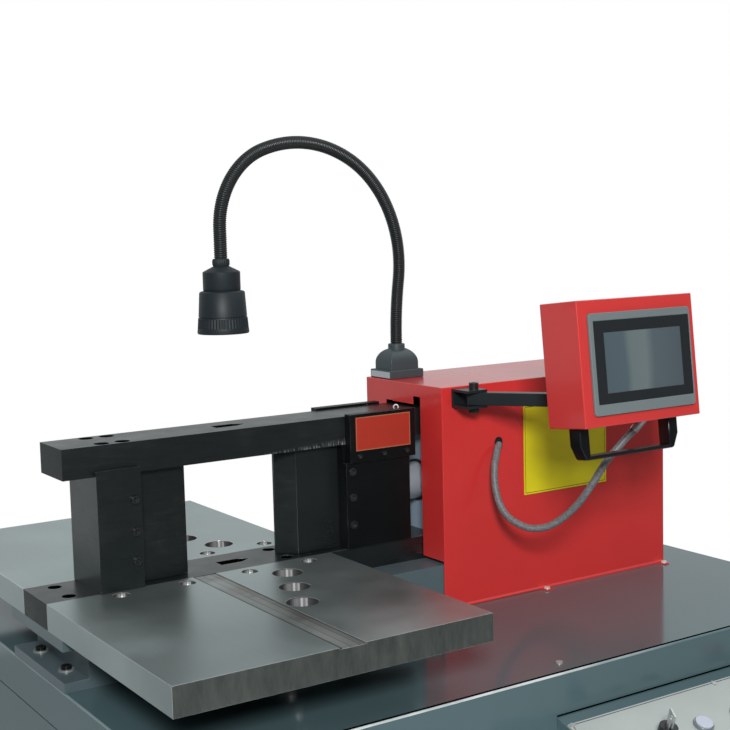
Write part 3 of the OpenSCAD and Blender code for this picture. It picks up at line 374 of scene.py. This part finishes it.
def beam_steel(name):
    """The beam's black steel, scraped bare along its lower front edge where the ram's guides run."""
    m = black_steel(name, hollow="upper_beam")
    tree = m.node_tree
    spots = position(tree)
    reach = span(tree, spots["X"], 0.0, SCRAPE_HIGH, *SCRAPE_ALONG)
    height = maths(tree, "SUBTRACT", spots["Z"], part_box("upper_beam")[0].z)
    low_down = span(tree, maths(tree, "SUBTRACT", reach, height), 0.0, 1.0, 0.0, SCRAPE_HIGH / 2)
    streaks = span(tree, noise(tree, place(tree, (620, 1, 60)), 1.0, 3), 0.0, 0.8, 0.5, 0.64)
    on_front = maths(tree, "LESS_THAN", facing(tree)["Y"], -FACING_SHARE)
    by_guides = maths(tree, "LESS_THAN", spots["X"], SCRAPE_END)
    scraped = maths(tree, "MULTIPLY", maths(tree, "MULTIPLY", on_front, by_guides),
                    maths(tree, "MULTIPLY", low_down, streaks))
    colour_over(tree, tree.nodes["Principled BSDF"], scraped, BARE_STEEL)
    return m


def pale_edge(name, below, bare, rough=0.34):
    """A broken edge, paler along stretches of it: worn bare metal on the black steel, a painted highlight on
    the tables.
    """
    m, tree, shader = new_material(name)
    wear = noise(tree, place(tree), 28, 5, 0.65)
    tree.links.new(ramp(tree, wear, [(0.42, below), (0.62, bare)]), shader.inputs["Base Color"])
    tree.links.new(span(tree, wear, 0.0, 0.8, 0.42, 0.62), shader.inputs["Metallic"])
    shader.inputs["Roughness"].default_value = rough
    return m


def two_heights(name, node, split, below, above):
    """Zinc on one side of a height in the node and black on the other, each with a little unevenness."""
    m, tree, shader = new_material(name)
    low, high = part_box(node)
    upper = maths(tree, "GREATER_THAN", across(tree)["Z"], (split - low.z) / (high.z - low.z))
    uneven = noise(tree, place(tree), 300, 3)
    tones = [ramp(tree, uneven, [(0.3, shade(c, 0.85)), (0.7, shade(c, 1.15))]) for c in (below, above)]
    tree.links.new(painted_over(tree, upper, *tones), shader.inputs["Base Color"])
    shader.inputs["Metallic"].default_value = 0.5
    shader.inputs["Roughness"].default_value = 0.32
    return m


def ground_steel(name, node, light=(0.49, 0.56, 0.555), dark=(0.365, 0.42, 0.415), rough=0.36):
    """A ground steel table: cloudy on top, streaked and darkened as painted shade on its long edges, with
    painted glints in its bores and painted shade below.
    """
    m, tree, shader = new_material(name)
    clouds = noise(tree, place(tree), 5, 6, 0.55)
    grind = noise(tree, place(tree, (260, 4, 4)), 2.2, 4)
    mixed = blended(tree, 0.16, clouds, grind)
    top = ramp(tree, mixed, [(0.32, dark), (0.5, shade(light, 0.85)), (0.68, light)])
    # The long edges: sawn streaks, darkened further as painted shade
    streaks = noise(tree, place(tree, (34, 34, 9)), 2.0, 6, 0.7)
    edge = ramp(tree, streaks, [(0.3, (0.115, 0.134, 0.126)), (0.7, (0.21, 0.23, 0.212))])
    normal = facing(tree)
    long_edge = maths(tree, "GREATER_THAN", maths(tree, "ABSOLUTE", normal["Y"], 0.0), FACING_SHARE)
    tree.links.new(painted_over(tree, long_edge, top, edge), shader.inputs["Base Color"])
    tree.links.new(span(tree, clouds, rough - 0.05, rough + 0.08), shader.inputs["Roughness"])
    # The underside is painted black as shade under the tables
    underside = maths(tree, "LESS_THAN", normal["Z"], -FACING_SHARE)
    darken(tree, shader, underside)
    # Painted glints and shade on the bores' walls, by the way each wall faces
    bore = maths(tree, "MULTIPLY", inside(tree, node, RECESS), maths(tree, "SUBTRACT", 1.0, underside))
    sideways = maths(tree, "SUBTRACT", maths(tree, "MULTIPLY", normal["X"], GLINT_WAY[0]),
                     maths(tree, "MULTIPLY", normal["Y"], GLINT_WAY[1]))
    glints = ramp(tree, span(tree, sideways, 0.0, 1.0, -1.0, 1.0), [
        (0.10, (0.06,) * 3), (0.34, (0.16,) * 3), (0.40, (0.70,) * 3), (0.46, (0.25,) * 3),
        (0.54, (0.85,) * 3), (0.62, (0.28,) * 3), (0.72, (0.42,) * 3), (0.90, (0.05,) * 3),
    ])
    colour_over(tree, shader, bore, glints)
    metal = maths(tree, "SUBTRACT", 0.9, maths(tree, "MULTIPLY", bore, 0.45))
    tree.links.new(blended(tree, underside, metal, 0.0), shader.inputs["Metallic"])
    return m


def strip_steel(name):
    """The scale strip: steel in the table's tone with dark edges and two paler lines along it."""
    m, tree, shader = new_material(name)
    along_x = across(tree)["X"]
    lines = ramp(tree, along_x, [
        (0.0, (0.06, 0.06, 0.056)), (0.06, (0.10, 0.10, 0.095)), (0.10, (0.34, 0.365, 0.355)),
        (0.36, (0.36, 0.385, 0.375)), (0.40, (0.20, 0.205, 0.195)), (0.44, (0.33, 0.35, 0.34)),
        (0.70, (0.34, 0.36, 0.35)), (0.74, (0.18, 0.18, 0.172)), (0.80, (0.29, 0.305, 0.295)),
        (0.94, (0.24, 0.245, 0.235)), (0.97, (0.06, 0.06, 0.056)),
    ])
    tree.links.new(lines, shader.inputs["Base Color"])
    rust = span(tree, noise(tree, place(tree), 22, 6, 0.65), 0.0, 0.6, 0.5, 0.72)
    colour_over(tree, shader, rust, (0.17, 0.13, 0.10))
    tree.links.new(span(tree, noise(tree, place(tree), 14, 5), 0.3, 0.5), shader.inputs["Roughness"])
    shader.inputs["Metallic"].default_value = 0.85
    return m


def edge_share(tree, place_x, place_y, size, inset, width):
    """One on a line round a sheet of the given size, at an inset from its edge, else nought."""
    def off_edge(value, length):
        middle = maths(tree, "ABSOLUTE", maths(tree, "SUBTRACT", value, 0.5), 0.0)
        return maths(tree, "MULTIPLY", maths(tree, "SUBTRACT", 0.5, middle), length)

    near = maths(tree, "MINIMUM", off_edge(place_x, size[0]), off_edge(place_y, size[1]))
    return between(tree, near, inset, inset + width)


def bordered_sheet(name, node, axes, colour, ink, inset, width):
    """A plain sheet with one thin line round it, and no words."""
    m, tree, shader = new_material(name)
    low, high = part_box(node)
    size = tuple(high["XYZ".index(a)] - low["XYZ".index(a)] for a in axes)
    spots = across(tree)
    line = edge_share(tree, spots[axes[0]], spots[axes[1]], size, inset, width)
    tone = ramp(tree, noise(tree, place(tree), 16), [(0.3, shade(colour, 0.95)), (0.7, shade(colour, 1.03))])
    tree.links.new(painted_over(tree, line, tone, ink), shader.inputs["Base Color"])
    shader.inputs["Roughness"].default_value = 0.4
    return m


def screen_face(name):
    """The switched-off screen: a black rim round a grey glass with one soft upright band of painted
    reflection.
    """
    m, tree, shader = new_material(name)
    spots = across(tree)
    wide = between(tree, spots["X"], *GLASS_WIDE_SHARES)
    tall = between(tree, spots["Z"], *GLASS_TALL_SHARES)
    glass_area = maths(tree, "MULTIPLY", wide, tall)
    sway = maths(tree, "MULTIPLY", maths(tree, "SUBTRACT", noise(tree, place(tree), 9, 1), 0.5), 0.12)
    # The glass's paler upright band is a painted reflection
    glass = ramp(tree, maths(tree, "ADD", spots["X"], sway), [
        (0.10, (0.086, 0.118, 0.140)), (0.30, (0.090, 0.124, 0.145)), (0.36, (0.148, 0.188, 0.195)),
        (0.52, (0.157, 0.198, 0.203)), (0.60, (0.100, 0.130, 0.148)), (0.90, (0.086, 0.108, 0.128)),
    ])
    tree.links.new(painted_over(tree, glass_area, (0.020, 0.0235, 0.027), glass), shader.inputs["Base Color"])
    shader.inputs["Roughness"].default_value = 0.18
    return m


looks = {
    "cabinet": paint("cabinet_paint", CABINET, 0.12, 0.04, grain=0.02, scale=3),
    "shell": shell_paint("shell_paint"),
    "shell_edge_highlight": shell_edge_highlight("shell_edge_highlight"),
    "bed": paint("bed_paint", (0.095, 0.135, 0.150), 0.35, 0.1),
    "red": paint("red_paint", BOX_RED, 0.3, 0.05, coat=0.6, grain=0.03, scale=4),
    "housing": housing_paint("housing_paint"),
    "black": black_steel("black_steel"),
    "bar": black_steel("bar_steel", hollow="lower_bar"),
    "beam": beam_steel("beam_steel"),
    # The ram's pieces take a darker copy of the black steel: its darker tone is painted shade
    "ram": black_steel("ram_steel", (0.0036, 0.0052, 0.0057), (0.0070, 0.0090, 0.0095), 0.38, 0.18),
    "die": black_steel("die_steel", stain=(0.030, 0.024, 0.017)),
    "worn": pale_edge("pale_edge", BLACK_WEAR, (0.30, 0.31, 0.30)),
    # The tables' edges are pale as a painted highlight
    "bright": pale_edge("bright_edge", (0.52, 0.55, 0.54), (0.92, 0.94, 0.92), 0.25),
    "bolt": paint("black_bolt", BLACK_BOLT, 0.3, 0.15, grain=0.02),
    "panel_screw": two_heights("panel_screw", "panel_screws", SCREW_SPLIT, BLACK_BOLT, (0.56,) * 3),
    "bed_bolt": two_heights("bed_bolt", "bed_bolts", WASHER_TOP, (0.36, 0.38, 0.37), (0.012, 0.014, 0.015)),
    "table": ground_steel("front_steel", "front_table"),
    "back_table": ground_steel("back_steel", "back_table"),
    "zinc": paint("zinc", (0.60, 0.62, 0.62), 0.3, 0.08, metal=0.85),
    "pale": paint("pale_zinc", (0.78, 0.79, 0.77), 0.4, 0.05, metal=0.2),
    "strip": strip_steel("strip_steel"),
    "panel": bordered_sheet("control_sheet", "control_plate", "XY", (0.47, 0.52, 0.50), (0.035, 0.04, 0.04),
                            inset=0.0032, width=0.0013),
    "plastic": paint("black_plastic", (0.010, 0.012, 0.013), 0.4, 0.1, grain=0.2),
    # The lamp's head and foot are one black plastic in two tones of painted light and shade: the foot paler,
    # the head darker
    "lamp": paint("lamp_plastic", (0.016, 0.023, 0.028), 0.5, 0.08, grain=0.15, shine=0.36),
    "lamp_foot": paint("lamp_foot", (0.052, 0.074, 0.080), 0.42, 0.08, grain=0.15),
    "neck": paint("neck_black", (0.017, 0.021, 0.022), 0.36, 0.1, grain=0.05, shine=0.42),
    "arm": paint("arm_black", (0.014, 0.019, 0.0225), 0.3, 0.1),
    "handle": paint("handle_black", (0.003, 0.0038, 0.005), 0.3, 0.1, grain=0.02),
    "white": paint("white_cap", (0.56, 0.61, 0.72), 0.3, 0.02, grain=0.02),
    "stop": paint("stop_red", (0.55, 0.02, 0.02), 0.3, 0.03, coat=0.3, grain=0.02),
    "ring": paint("button_metal", (0.30, 0.33, 0.34), 0.35, 0.05, metal=0.6),
    "tag": bordered_sheet("tag_red", "guide_tag", "XZ", (0.44, 0.034, 0.019), (0.44, 0.15, 0.07),
                          inset=0.0, width=0.0014),
    "chrome": paint("chrome_rod", (0.56, 0.61, 0.68), 0.2, 0.03, metal=0.45, grain=0.01),
    # The cylinder's paint is made paler as painted light, for the front head in the housing's shade
    "cylinder": paint("cylinder_paint", (0.32, 0.42, 0.52), 0.4, 0.08),
    "notice": bordered_sheet("notice_yellow", "notice_plate", "XZ", (0.88, 0.76, 0.012), (0.06, 0.05, 0.02),
                             inset=0.0025, width=0.0009),
    "rubber": paint("black_rubber", (0.006, 0.007, 0.008), 0.5, 0.1),
    "lens": paint("lamp_lens", (0.75, 0.76, 0.74), 0.35, 0.03),
    "bezel": paint("bezel_grey", (0.190, 0.228, 0.235), 0.38, 0.04, grain=0.08),
    "screen": screen_face("screen_glass"),
    "cable": paint("cable_grey", (0.175, 0.180, 0.190), 0.42, 0.4, scale=320),
    "label": paint("bare_label", (0.55, 0.60, 0.63), 0.3, 0.05, metal=0.3),
    "unit": paint("unit_paint", (0.07, 0.14, 0.21), 0.4),
    "box": paint("box_paint", (0.28, 0.31, 0.32), 0.4),
}
NODES_OF_LOOK = {
    "cabinet": "base_pan left_panel right_panel back_panel console_box",
    "shell": "cabinet_shell",
    "bed": "bed",
    "red": "screen_box",
    "housing": "housing",
    "black": "die_column die_side_plates punch",
    "bar": "lower_bar",
    "beam": "upper_beam",
    "ram": "carriage ram_side_plates ram_guides",
    "die": "die",
    "bolt": "die_screws ram_screws beam_bolts pivot_bolt",
    "panel_screw": "panel_screws",
    "bed_bolt": "bed_bolts",
    "table": "front_table",
    "back_table": "back_table",
    "zinc": "control_screws table_bolts tie_rods key cable_fitting",
    "pale": "beam_eyelet housing_screws",
    "strip": "scale_strips",
    "panel": "control_plate",
    "plastic": "key_lock black_button",
    "lamp": "lamp_head",
    "lamp_foot": "lamp_base",
    "handle": "box_handle",
    "neck": "lamp_neck",
    "arm": "arm_bracket swing_arm",
    "white": "white_button",
    "stop": "stop_button",
    "ring": "button_bezels",
    "tag": "guide_tag",
    "chrome": "piston_rod",
    "cylinder": "front_head barrel rear_cap",
    "rubber": "cable_grommet rod_gland",
    "notice": "notice_plate",
    "lens": "lamp_lens",
    "bezel": "screen_bezel",
    "screen": "screen_glass",
    "cable": "cable",
    "unit": "power_unit",
    "box": "electrical_box",
}
look_of_node = {n: look for look, names in NODES_OF_LOOK.items() for n in names.split()}


def dress(obj, look):
    if len(obj.data.materials):
        obj.data.materials.clear()
    obj.data.materials.append(looks[look])


for name, obj in nodes.items():
    dress(obj, look_of_node[name])


# Pieces that ride with a CAD node
def piece(mesh, name, node, stands_for=True, look=None):
    obj = bpy.data.objects.new(name, mesh)
    scene.collection.objects.link(obj)
    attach(obj, body_of_node[node])
    if stands_for:
        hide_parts(node)
    dress(obj, look or look_of_node[node])
    return obj


def to_mesh(bm, name, sharp=48):
    """A mesh that is smooth but for edges sharper than the given angle, in degrees."""
    mesh = bpy.data.meshes.new(name)
    bm.to_mesh(mesh)
    bm.free()
    for key in ("custom_normal", "sharp_face"):
        if key in mesh.attributes:
            mesh.attributes.remove(mesh.attributes[key])
    mesh.shade_smooth()
    mesh.set_sharp_from_angle(angle=math.radians(sharp))
    return mesh


# Copies of CAD nodes with their hard edges broken, as real edges are
SAME_POINT = 2e-6
SAME_PLANE = math.radians(0.4)
HARD_EDGE = math.radians(35)
ON_FACE = 1e-5


def clean_copy(node):
    """The node's mesh without doubled points or the lines inside its flat faces."""
    bm = bmesh.new()
    bm.from_mesh(nodes[node].data)
    bmesh.ops.remove_doubles(bm, verts=bm.verts, dist=SAME_POINT)
    bmesh.ops.dissolve_limit(bm, angle_limit=SAME_PLANE, verts=bm.verts, edges=bm.edges)
    return bm


def broken_edges(node, width, segments=2, only=None, edge_look=None):
    """Bevels the node's convex edges, or only those asked for, with a look of their own if one is given."""
    bm = clean_copy(node)
    edges = [e for e in bm.edges if len(e.link_faces) == 2 and e.is_convex
             and e.calc_face_angle(0) > HARD_EDGE and (only is None or only(e))]
    for face in bm.faces:
        face.material_index = 0
    bmesh.ops.bevel(bm, geom=edges, offset=width, segments=segments, profile=0.5, affect="EDGES",
                    clamp_overlap=only is None, material=1 if edge_look else 0)
    obj = piece(to_mesh(bm, "soft_" + node), "soft_" + node, node)
    if edge_look:
        obj.data.materials.append(looks[edge_look])
    even = obj.modifiers.new("even_normals", "WEIGHTED_NORMAL")
    even.keep_sharp = True
    return obj


def outer_edge(node, tilt=0.0):
    """True for an edge that lies along the node's own box, once its tilt is taken off."""
    turn = Matrix.Rotation(tilt, 4, "X")
    low, high = main_box(node)
    if tilt:
        points = [turn @ v.co for v in nodes[node].data.vertices]
        low = [min(p[i] for p in points) for i in range(3)]
        high = [max(p[i] for p in points) for i in range(3)]

    def planes(v):
        p = turn @ v.co
        ends = [(i, end[i]) for i in range(3) for end in (low, high)]
        return {(i, at) for i, at in ends if abs(p[i] - at) < ON_FACE}

    return lambda e: len(planes(e.verts[0]) & planes(e.verts[1])) >= 2


EDGE_WIDTHS = {
    0.0006: "die punch control_plate button_bezels die_screws ram_screws bed_bolts",
    0.0007: "lower_bar die_column die_side_plates carriage ram_side_plates ram_guides arm_bracket"
            " key_lock white_button black_button",
    0.0009: "swing_arm front_head left_panel right_panel back_panel upper_beam",
    0.0012: "front_table back_table bed screen_bezel",
    0.0015: "lamp_base",
    0.0020: "stop_button",
    0.0030: "box_handle",
}
NODES_OF_EDGE_LOOK = {
    "worn": "lower_bar die_side_plates ram_side_plates ram_guides upper_beam",
    # The tables' broken edges carry a painted highlight
    "bright": "front_table back_table",
    # The cabinet's top edge carries a painted highlight
    "shell_edge_highlight": "cabinet_shell",
}
edge_look_of_node = {n: look for look, names in NODES_OF_EDGE_LOOK.items() for n in names.split()}
for width, names in EDGE_WIDTHS.items():
    for name in names.split():
        broken_edges(name, width, edge_look=edge_look_of_node.get(name))
# Sheet boxes have only their outer edges rounded
OUTER_EDGE_WIDTHS = {
    "cabinet_shell": 0.0024,
    "base_pan": 0.0020,
    "housing": 0.0014,
    "console_box": 0.0014,
    "screen_box": 0.0018,
}
TILT_OF_NODE = {"screen_box": math.radians(6)}
for name, width in OUTER_EDGE_WIDTHS.items():
    outer = outer_edge(name, TILT_OF_NODE.get(name, 0.0))
    broken_edges(name, width, 3, outer, edge_look_of_node.get(name))


# Ringed tubes swept along a path
def even_steps(fine, step):
    """The same line with points a step apart."""
    path = [fine[0]]
    carry = 0.0
    for a, b in zip(fine, fine[1:]):
        length = (b - a).length
        at = step - carry
        while at <= length:
            path.append(a.lerp(b, at / length))
            at += step
        carry = length - (at - step)
    if (path[-1] - fine[-1]).length < step * 0.5:
        path.pop()
    path.append(fine[-1])
    return path


def smooth_path(points, step, pieces=24):
    """A smooth curve through the points, drawn in short pieces and then cut into even steps."""
    points = [Vector(p) for p in points]
    ends = [points[0] * 2 - points[1], *points, points[-1] * 2 - points[-2]]
    fine = []
    for a, b, c, d in zip(ends, ends[1:], ends[2:], ends[3:]):
        for k in range(pieces):
            t = k / pieces
            fine.append(0.5 * (2 * b + (c - a) * t + (2 * a - 5 * b + 4 * c - d) * t * t
                               + (3 * b - a - 3 * c + d) * t ** 3))
    fine.append(points[-1])
    return even_steps(fine, step)


def tube(path, radius_at, sides):
    """A closed tube round a path, with a radius that may change from step to step."""
    bm = bmesh.new()
    rings = []
    side = None
    for i, p in enumerate(path):
        along = (path[min(i + 1, len(path) - 1)] - path[max(i - 1, 0)]).normalized()
        side = along.orthogonal() if side is None else side - along * side.dot(along)
        side.normalize()
        over = along.cross(side)
        rings.append([bm.verts.new(p + radius_at(i) * (math.cos(a) * side + math.sin(a) * over))
                      for a in (2 * math.pi * k / sides for k in range(sides))])
    for one, two in zip(rings, rings[1:]):
        for k in range(sides):
            bm.faces.new((one[k], one[(k + 1) % sides], two[(k + 1) % sides], two[k]))
    bm.faces.new(rings[0][::-1])
    bm.faces.new(rings[-1])
    return bm


# Cable from the housing to the screen box, on the same route as in the part
CABLE_R = 0.00575
CABLE_RIB = 0.0004
CABLE_STEP = 0.001
CABLE_SIDES = 18
STEPS_PER_RIB = 3
cable_points = [
    (.1350, -.1078, 1.0240), (.1255, -.1150, 1.0170), (.1185, -.1205, 1.0075), (.1115, -.1255, .9945),
    (.1065, -.1310, .9750), (.1040, -.1375, .9555), (.1040, -.1470, .9360), (.1065, -.1595, .9210),
    (.1125, -.1745, .9110), (.1255, -.1935, .9035), (.1430, -.2140, .9070), (.1600, -.2345, .9235),
    (.1735, -.2550, .9490), (.1835, -.2735, .9795), (.1945, -.2885, 1.0105), (.2105, -.3010, 1.0360),
    (.2322, -.3107, 1.0598),
]
cable_path = smooth_path(cable_points, CABLE_STEP)
cable_bm = tube(cable_path, lambda i: CABLE_R - CABLE_RIB * (i % STEPS_PER_RIB == 0), CABLE_SIDES)
cable = bpy.data.objects.new("cable_tube", to_mesh(cable_bm, "cable_tube", sharp=60))
scene.collection.objects.link(cable)
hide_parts("cable")
dress(cable, "cable")
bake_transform(cable)

# Gooseneck: a short rise, four bends that follow on from each other and a straight drop to the lamp
NECK_R = 0.010
NECK_STEP = 0.0008
NECK_SIDES = 22
NECK_GROOVE = (0.0, 0.0002, 0.0011, 0.0002)
NECK_TURN = math.radians(8)
NECK_BENDS = ((0.620, -9), (0.190, 72), (0.220, 46), (0.124, 71))
NECK_RISE = 0.008
base_low, base_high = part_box("lamp_base")
head_low, head_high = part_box("lamp_head")
foot = Vector(((base_low.x + base_high.x) / 2, (base_low.y + base_high.y) / 2, base_high.z))
head_top = Vector(((head_low.x + head_high.x) / 2, (head_low.y + head_high.y) / 2, head_high.z))


def neck_line():
    """The neck's middle line: each bend turns toward the lamp by its angle, or away if below nought."""
    ahead = Vector((-math.cos(NECK_TURN), -math.sin(NECK_TURN), 0))
    rise = Vector((0, 0, 1))
    line = [foot, foot + rise * NECK_RISE]
    lean = 0.0
    for radius, turn in NECK_BENDS:
        pieces = math.ceil(radius * math.radians(abs(turn)) / NECK_STEP)
        share = math.radians(turn) / pieces
        chord = 2 * radius * math.sin(abs(share) / 2)
        for _ in range(pieces):
            heading = lean + share / 2
            line.append(line[-1] + chord * (ahead * math.sin(heading) + rise * math.cos(heading)))
            lean += share
    return line + [head_top]


neck_path = even_steps(neck_line(), NECK_STEP)
neck_bm = tube(neck_path, lambda i: NECK_R - NECK_GROOVE[i % len(NECK_GROOVE)], NECK_SIDES)
piece(to_mesh(neck_bm, "neck_tube", sharp=70), "neck_tube", "lamp_neck")


# Lamp head: turned on its own axis, with knurls on the nut and ribs on the grip
def turned(profile, middle, sides, dent):
    """A body turned from a profile of radii and depths, with a dent taken off each point's radius."""
    bm = bmesh.new()
    rings = []
    for radius, down in profile:
        ring = []
        for k in range(1 if radius == 0 else sides):
            a = 2 * math.pi * k / sides
            r = radius - dent(radius, down, k)
            ring.append(bm.verts.new(middle + Vector((r * math.cos(a), r * math.sin(a), -down))))
        rings.append(ring)
    for one, two in zip(rings, rings[1:]):
        for k in range(sides):
            n = (k + 1) % sides
            corners = [one[k % len(one)], one[n % len(one)], two[n % len(two)], two[k % len(two)]]
            bm.faces.new(list(dict.fromkeys(corners)))
    bmesh.ops.recalc_face_normals(bm, faces=bm.faces)
    return bm


HEAD_SIDES = 192
MOUTH_R = 0.030
KNURL_DEEP = 0.0007
KNURL_SPAN = (0.0025, 0.0085)
RIB_DEEP = 0.0012
RIB_SPAN = (0.0886, 0.1025)
head_profile = [
    (0, 0), (0.0115, 0), (0.013, 0.0025), (0.013, 0.0085), (0.0118, 0.011), (0.0265, 0.0185),
    (0.028, 0.0198), (0.028, 0.046), (0.0272, 0.047), (0.0325, 0.0485), (0.034, 0.050), (0.0362, 0.0856),
    (0.0352, 0.0860), (0.0352, 0.0868), (0.0366, 0.0872), (0.0369, 0.0885), (0.0369, 0.0886),
    (0.0380, 0.1025), (0.0380, 0.1026), (0.0388, 0.1085), (0.0380, 0.111), (MOUTH_R, 0.111),
    (MOUTH_R, 0.054), (0, 0.054),
]


def head_dent(radius, down, k):
    """Knurls on the nut and ribs on the grip, each as a few steps in every eight or four round it."""
    if KNURL_SPAN[0] <= down <= KNURL_SPAN[1]:
        return KNURL_DEEP * (k % 8 < 3)
    if RIB_SPAN[0] <= down <= RIB_SPAN[1] and radius > MOUTH_R:
        return RIB_DEEP * (k % 4 < 2)
    return 0


head_bm = turned(head_profile, head_top, HEAD_SIDES, head_dent)
piece(to_mesh(head_bm, "turned_head"), "turned_head", "lamp_head")


# A bare label on the lamp base's left side
LABEL_PROUD = 0.0003
LABEL_SUNK = 0.0005
LABEL_FRONT_MARGIN = 0.002
LABEL_BACK_MARGIN = 0.003
LABEL_RISE = (0.002, 0.012)


def block(name, node, low, high, look):
    """A box that is added to a node and rides with it."""
    bm = bmesh.new()
    bmesh.ops.create_cube(bm, size=1)
    for v in bm.verts:
        v.co = Vector(a + (b - a) * (c + 0.5) for a, b, c in zip(low, high, v.co))
    return piece(to_mesh(bm, name), name, node, False, look)


label_low = (base_low.x - LABEL_PROUD, base_low.y + LABEL_FRONT_MARGIN, base_low.z + LABEL_RISE[0])
label_high = (base_low.x + LABEL_SUNK, base_high.y - LABEL_BACK_MARGIN, base_low.z + LABEL_RISE[1])
block("bare_label", "lamp_base", label_low, label_high, "label")

# Floor, just below the machine
FLOOR_SIZE = 5
FLOOR_DROP = 0.0005
bpy.ops.mesh.primitive_plane_add(size=FLOOR_SIZE, location=(0, 0, -FLOOR_DROP))
floor = bpy.context.object
floor.name = "floor"
floor.data.materials.append(paint("floor", (0.62, 0.63, 0.63), 0.7, 0.01))

# The room glows from behind the machine, is dim in front of it and on its left, and looks white itself
FRONT_GLOW = 0.12
BACK_GLOW = 0.64
LEFT_SHARE = 0.4
world = bpy.data.worlds.new("world")
scene.world = world
world.use_nodes = True
tree = world.node_tree
sky = tree.nodes["Background"]
sky.inputs["Color"].default_value = (0.93, 0.985, 1, 1)
way = across(tree)
glow = span(tree, way["Y"], FRONT_GLOW, BACK_GLOW, -0.5, 0.5)
from_side = span(tree, way["X"], LEFT_SHARE, 1.0, -0.9, -0.2)
tree.links.new(maths(tree, "MULTIPLY", glow, from_side), sky.inputs["Strength"])
white = add(tree, "ShaderNodeBackground", Color=(1, 1, 1, 1), Strength=1.0)
which = add(tree, "ShaderNodeLightPath")
blend = add(tree, "ShaderNodeMixShader")
tree.links.new(which.outputs["Is Camera Ray"], blend.inputs["Fac"])
tree.links.new(sky.outputs["Background"], blend.inputs[1])
tree.links.new(white.outputs["Background"], blend.inputs[2])
tree.links.new(blend.outputs["Shader"], tree.nodes["World Output"].inputs["Surface"])


# Lights: a key light from the front left and a broad, weak one from above
def area(name, at, to, size, power):
    lamp = bpy.data.lights.new(name, "AREA")
    lamp.shape = "RECTANGLE"
    lamp.size, lamp.size_y = size
    lamp.energy = power
    obj = bpy.data.objects.new(name, lamp)
    scene.collection.objects.link(obj)
    obj.location = at
    obj.rotation_euler = (Vector(to) - Vector(at)).to_track_quat("-Z", "Y").to_euler()
    return obj


area("key", at=(-1.8, -3.0, 2.5), to=(0.1, 0, 0.95), size=(0.8, 0.7), power=108)
area("top", at=(1.4, -0.5, 3.3), to=(0.2, 0, 0.9), size=(3.0, 2.0), power=17)
scene.view_settings.view_transform = "Standard"
scene.view_settings.look = "None"
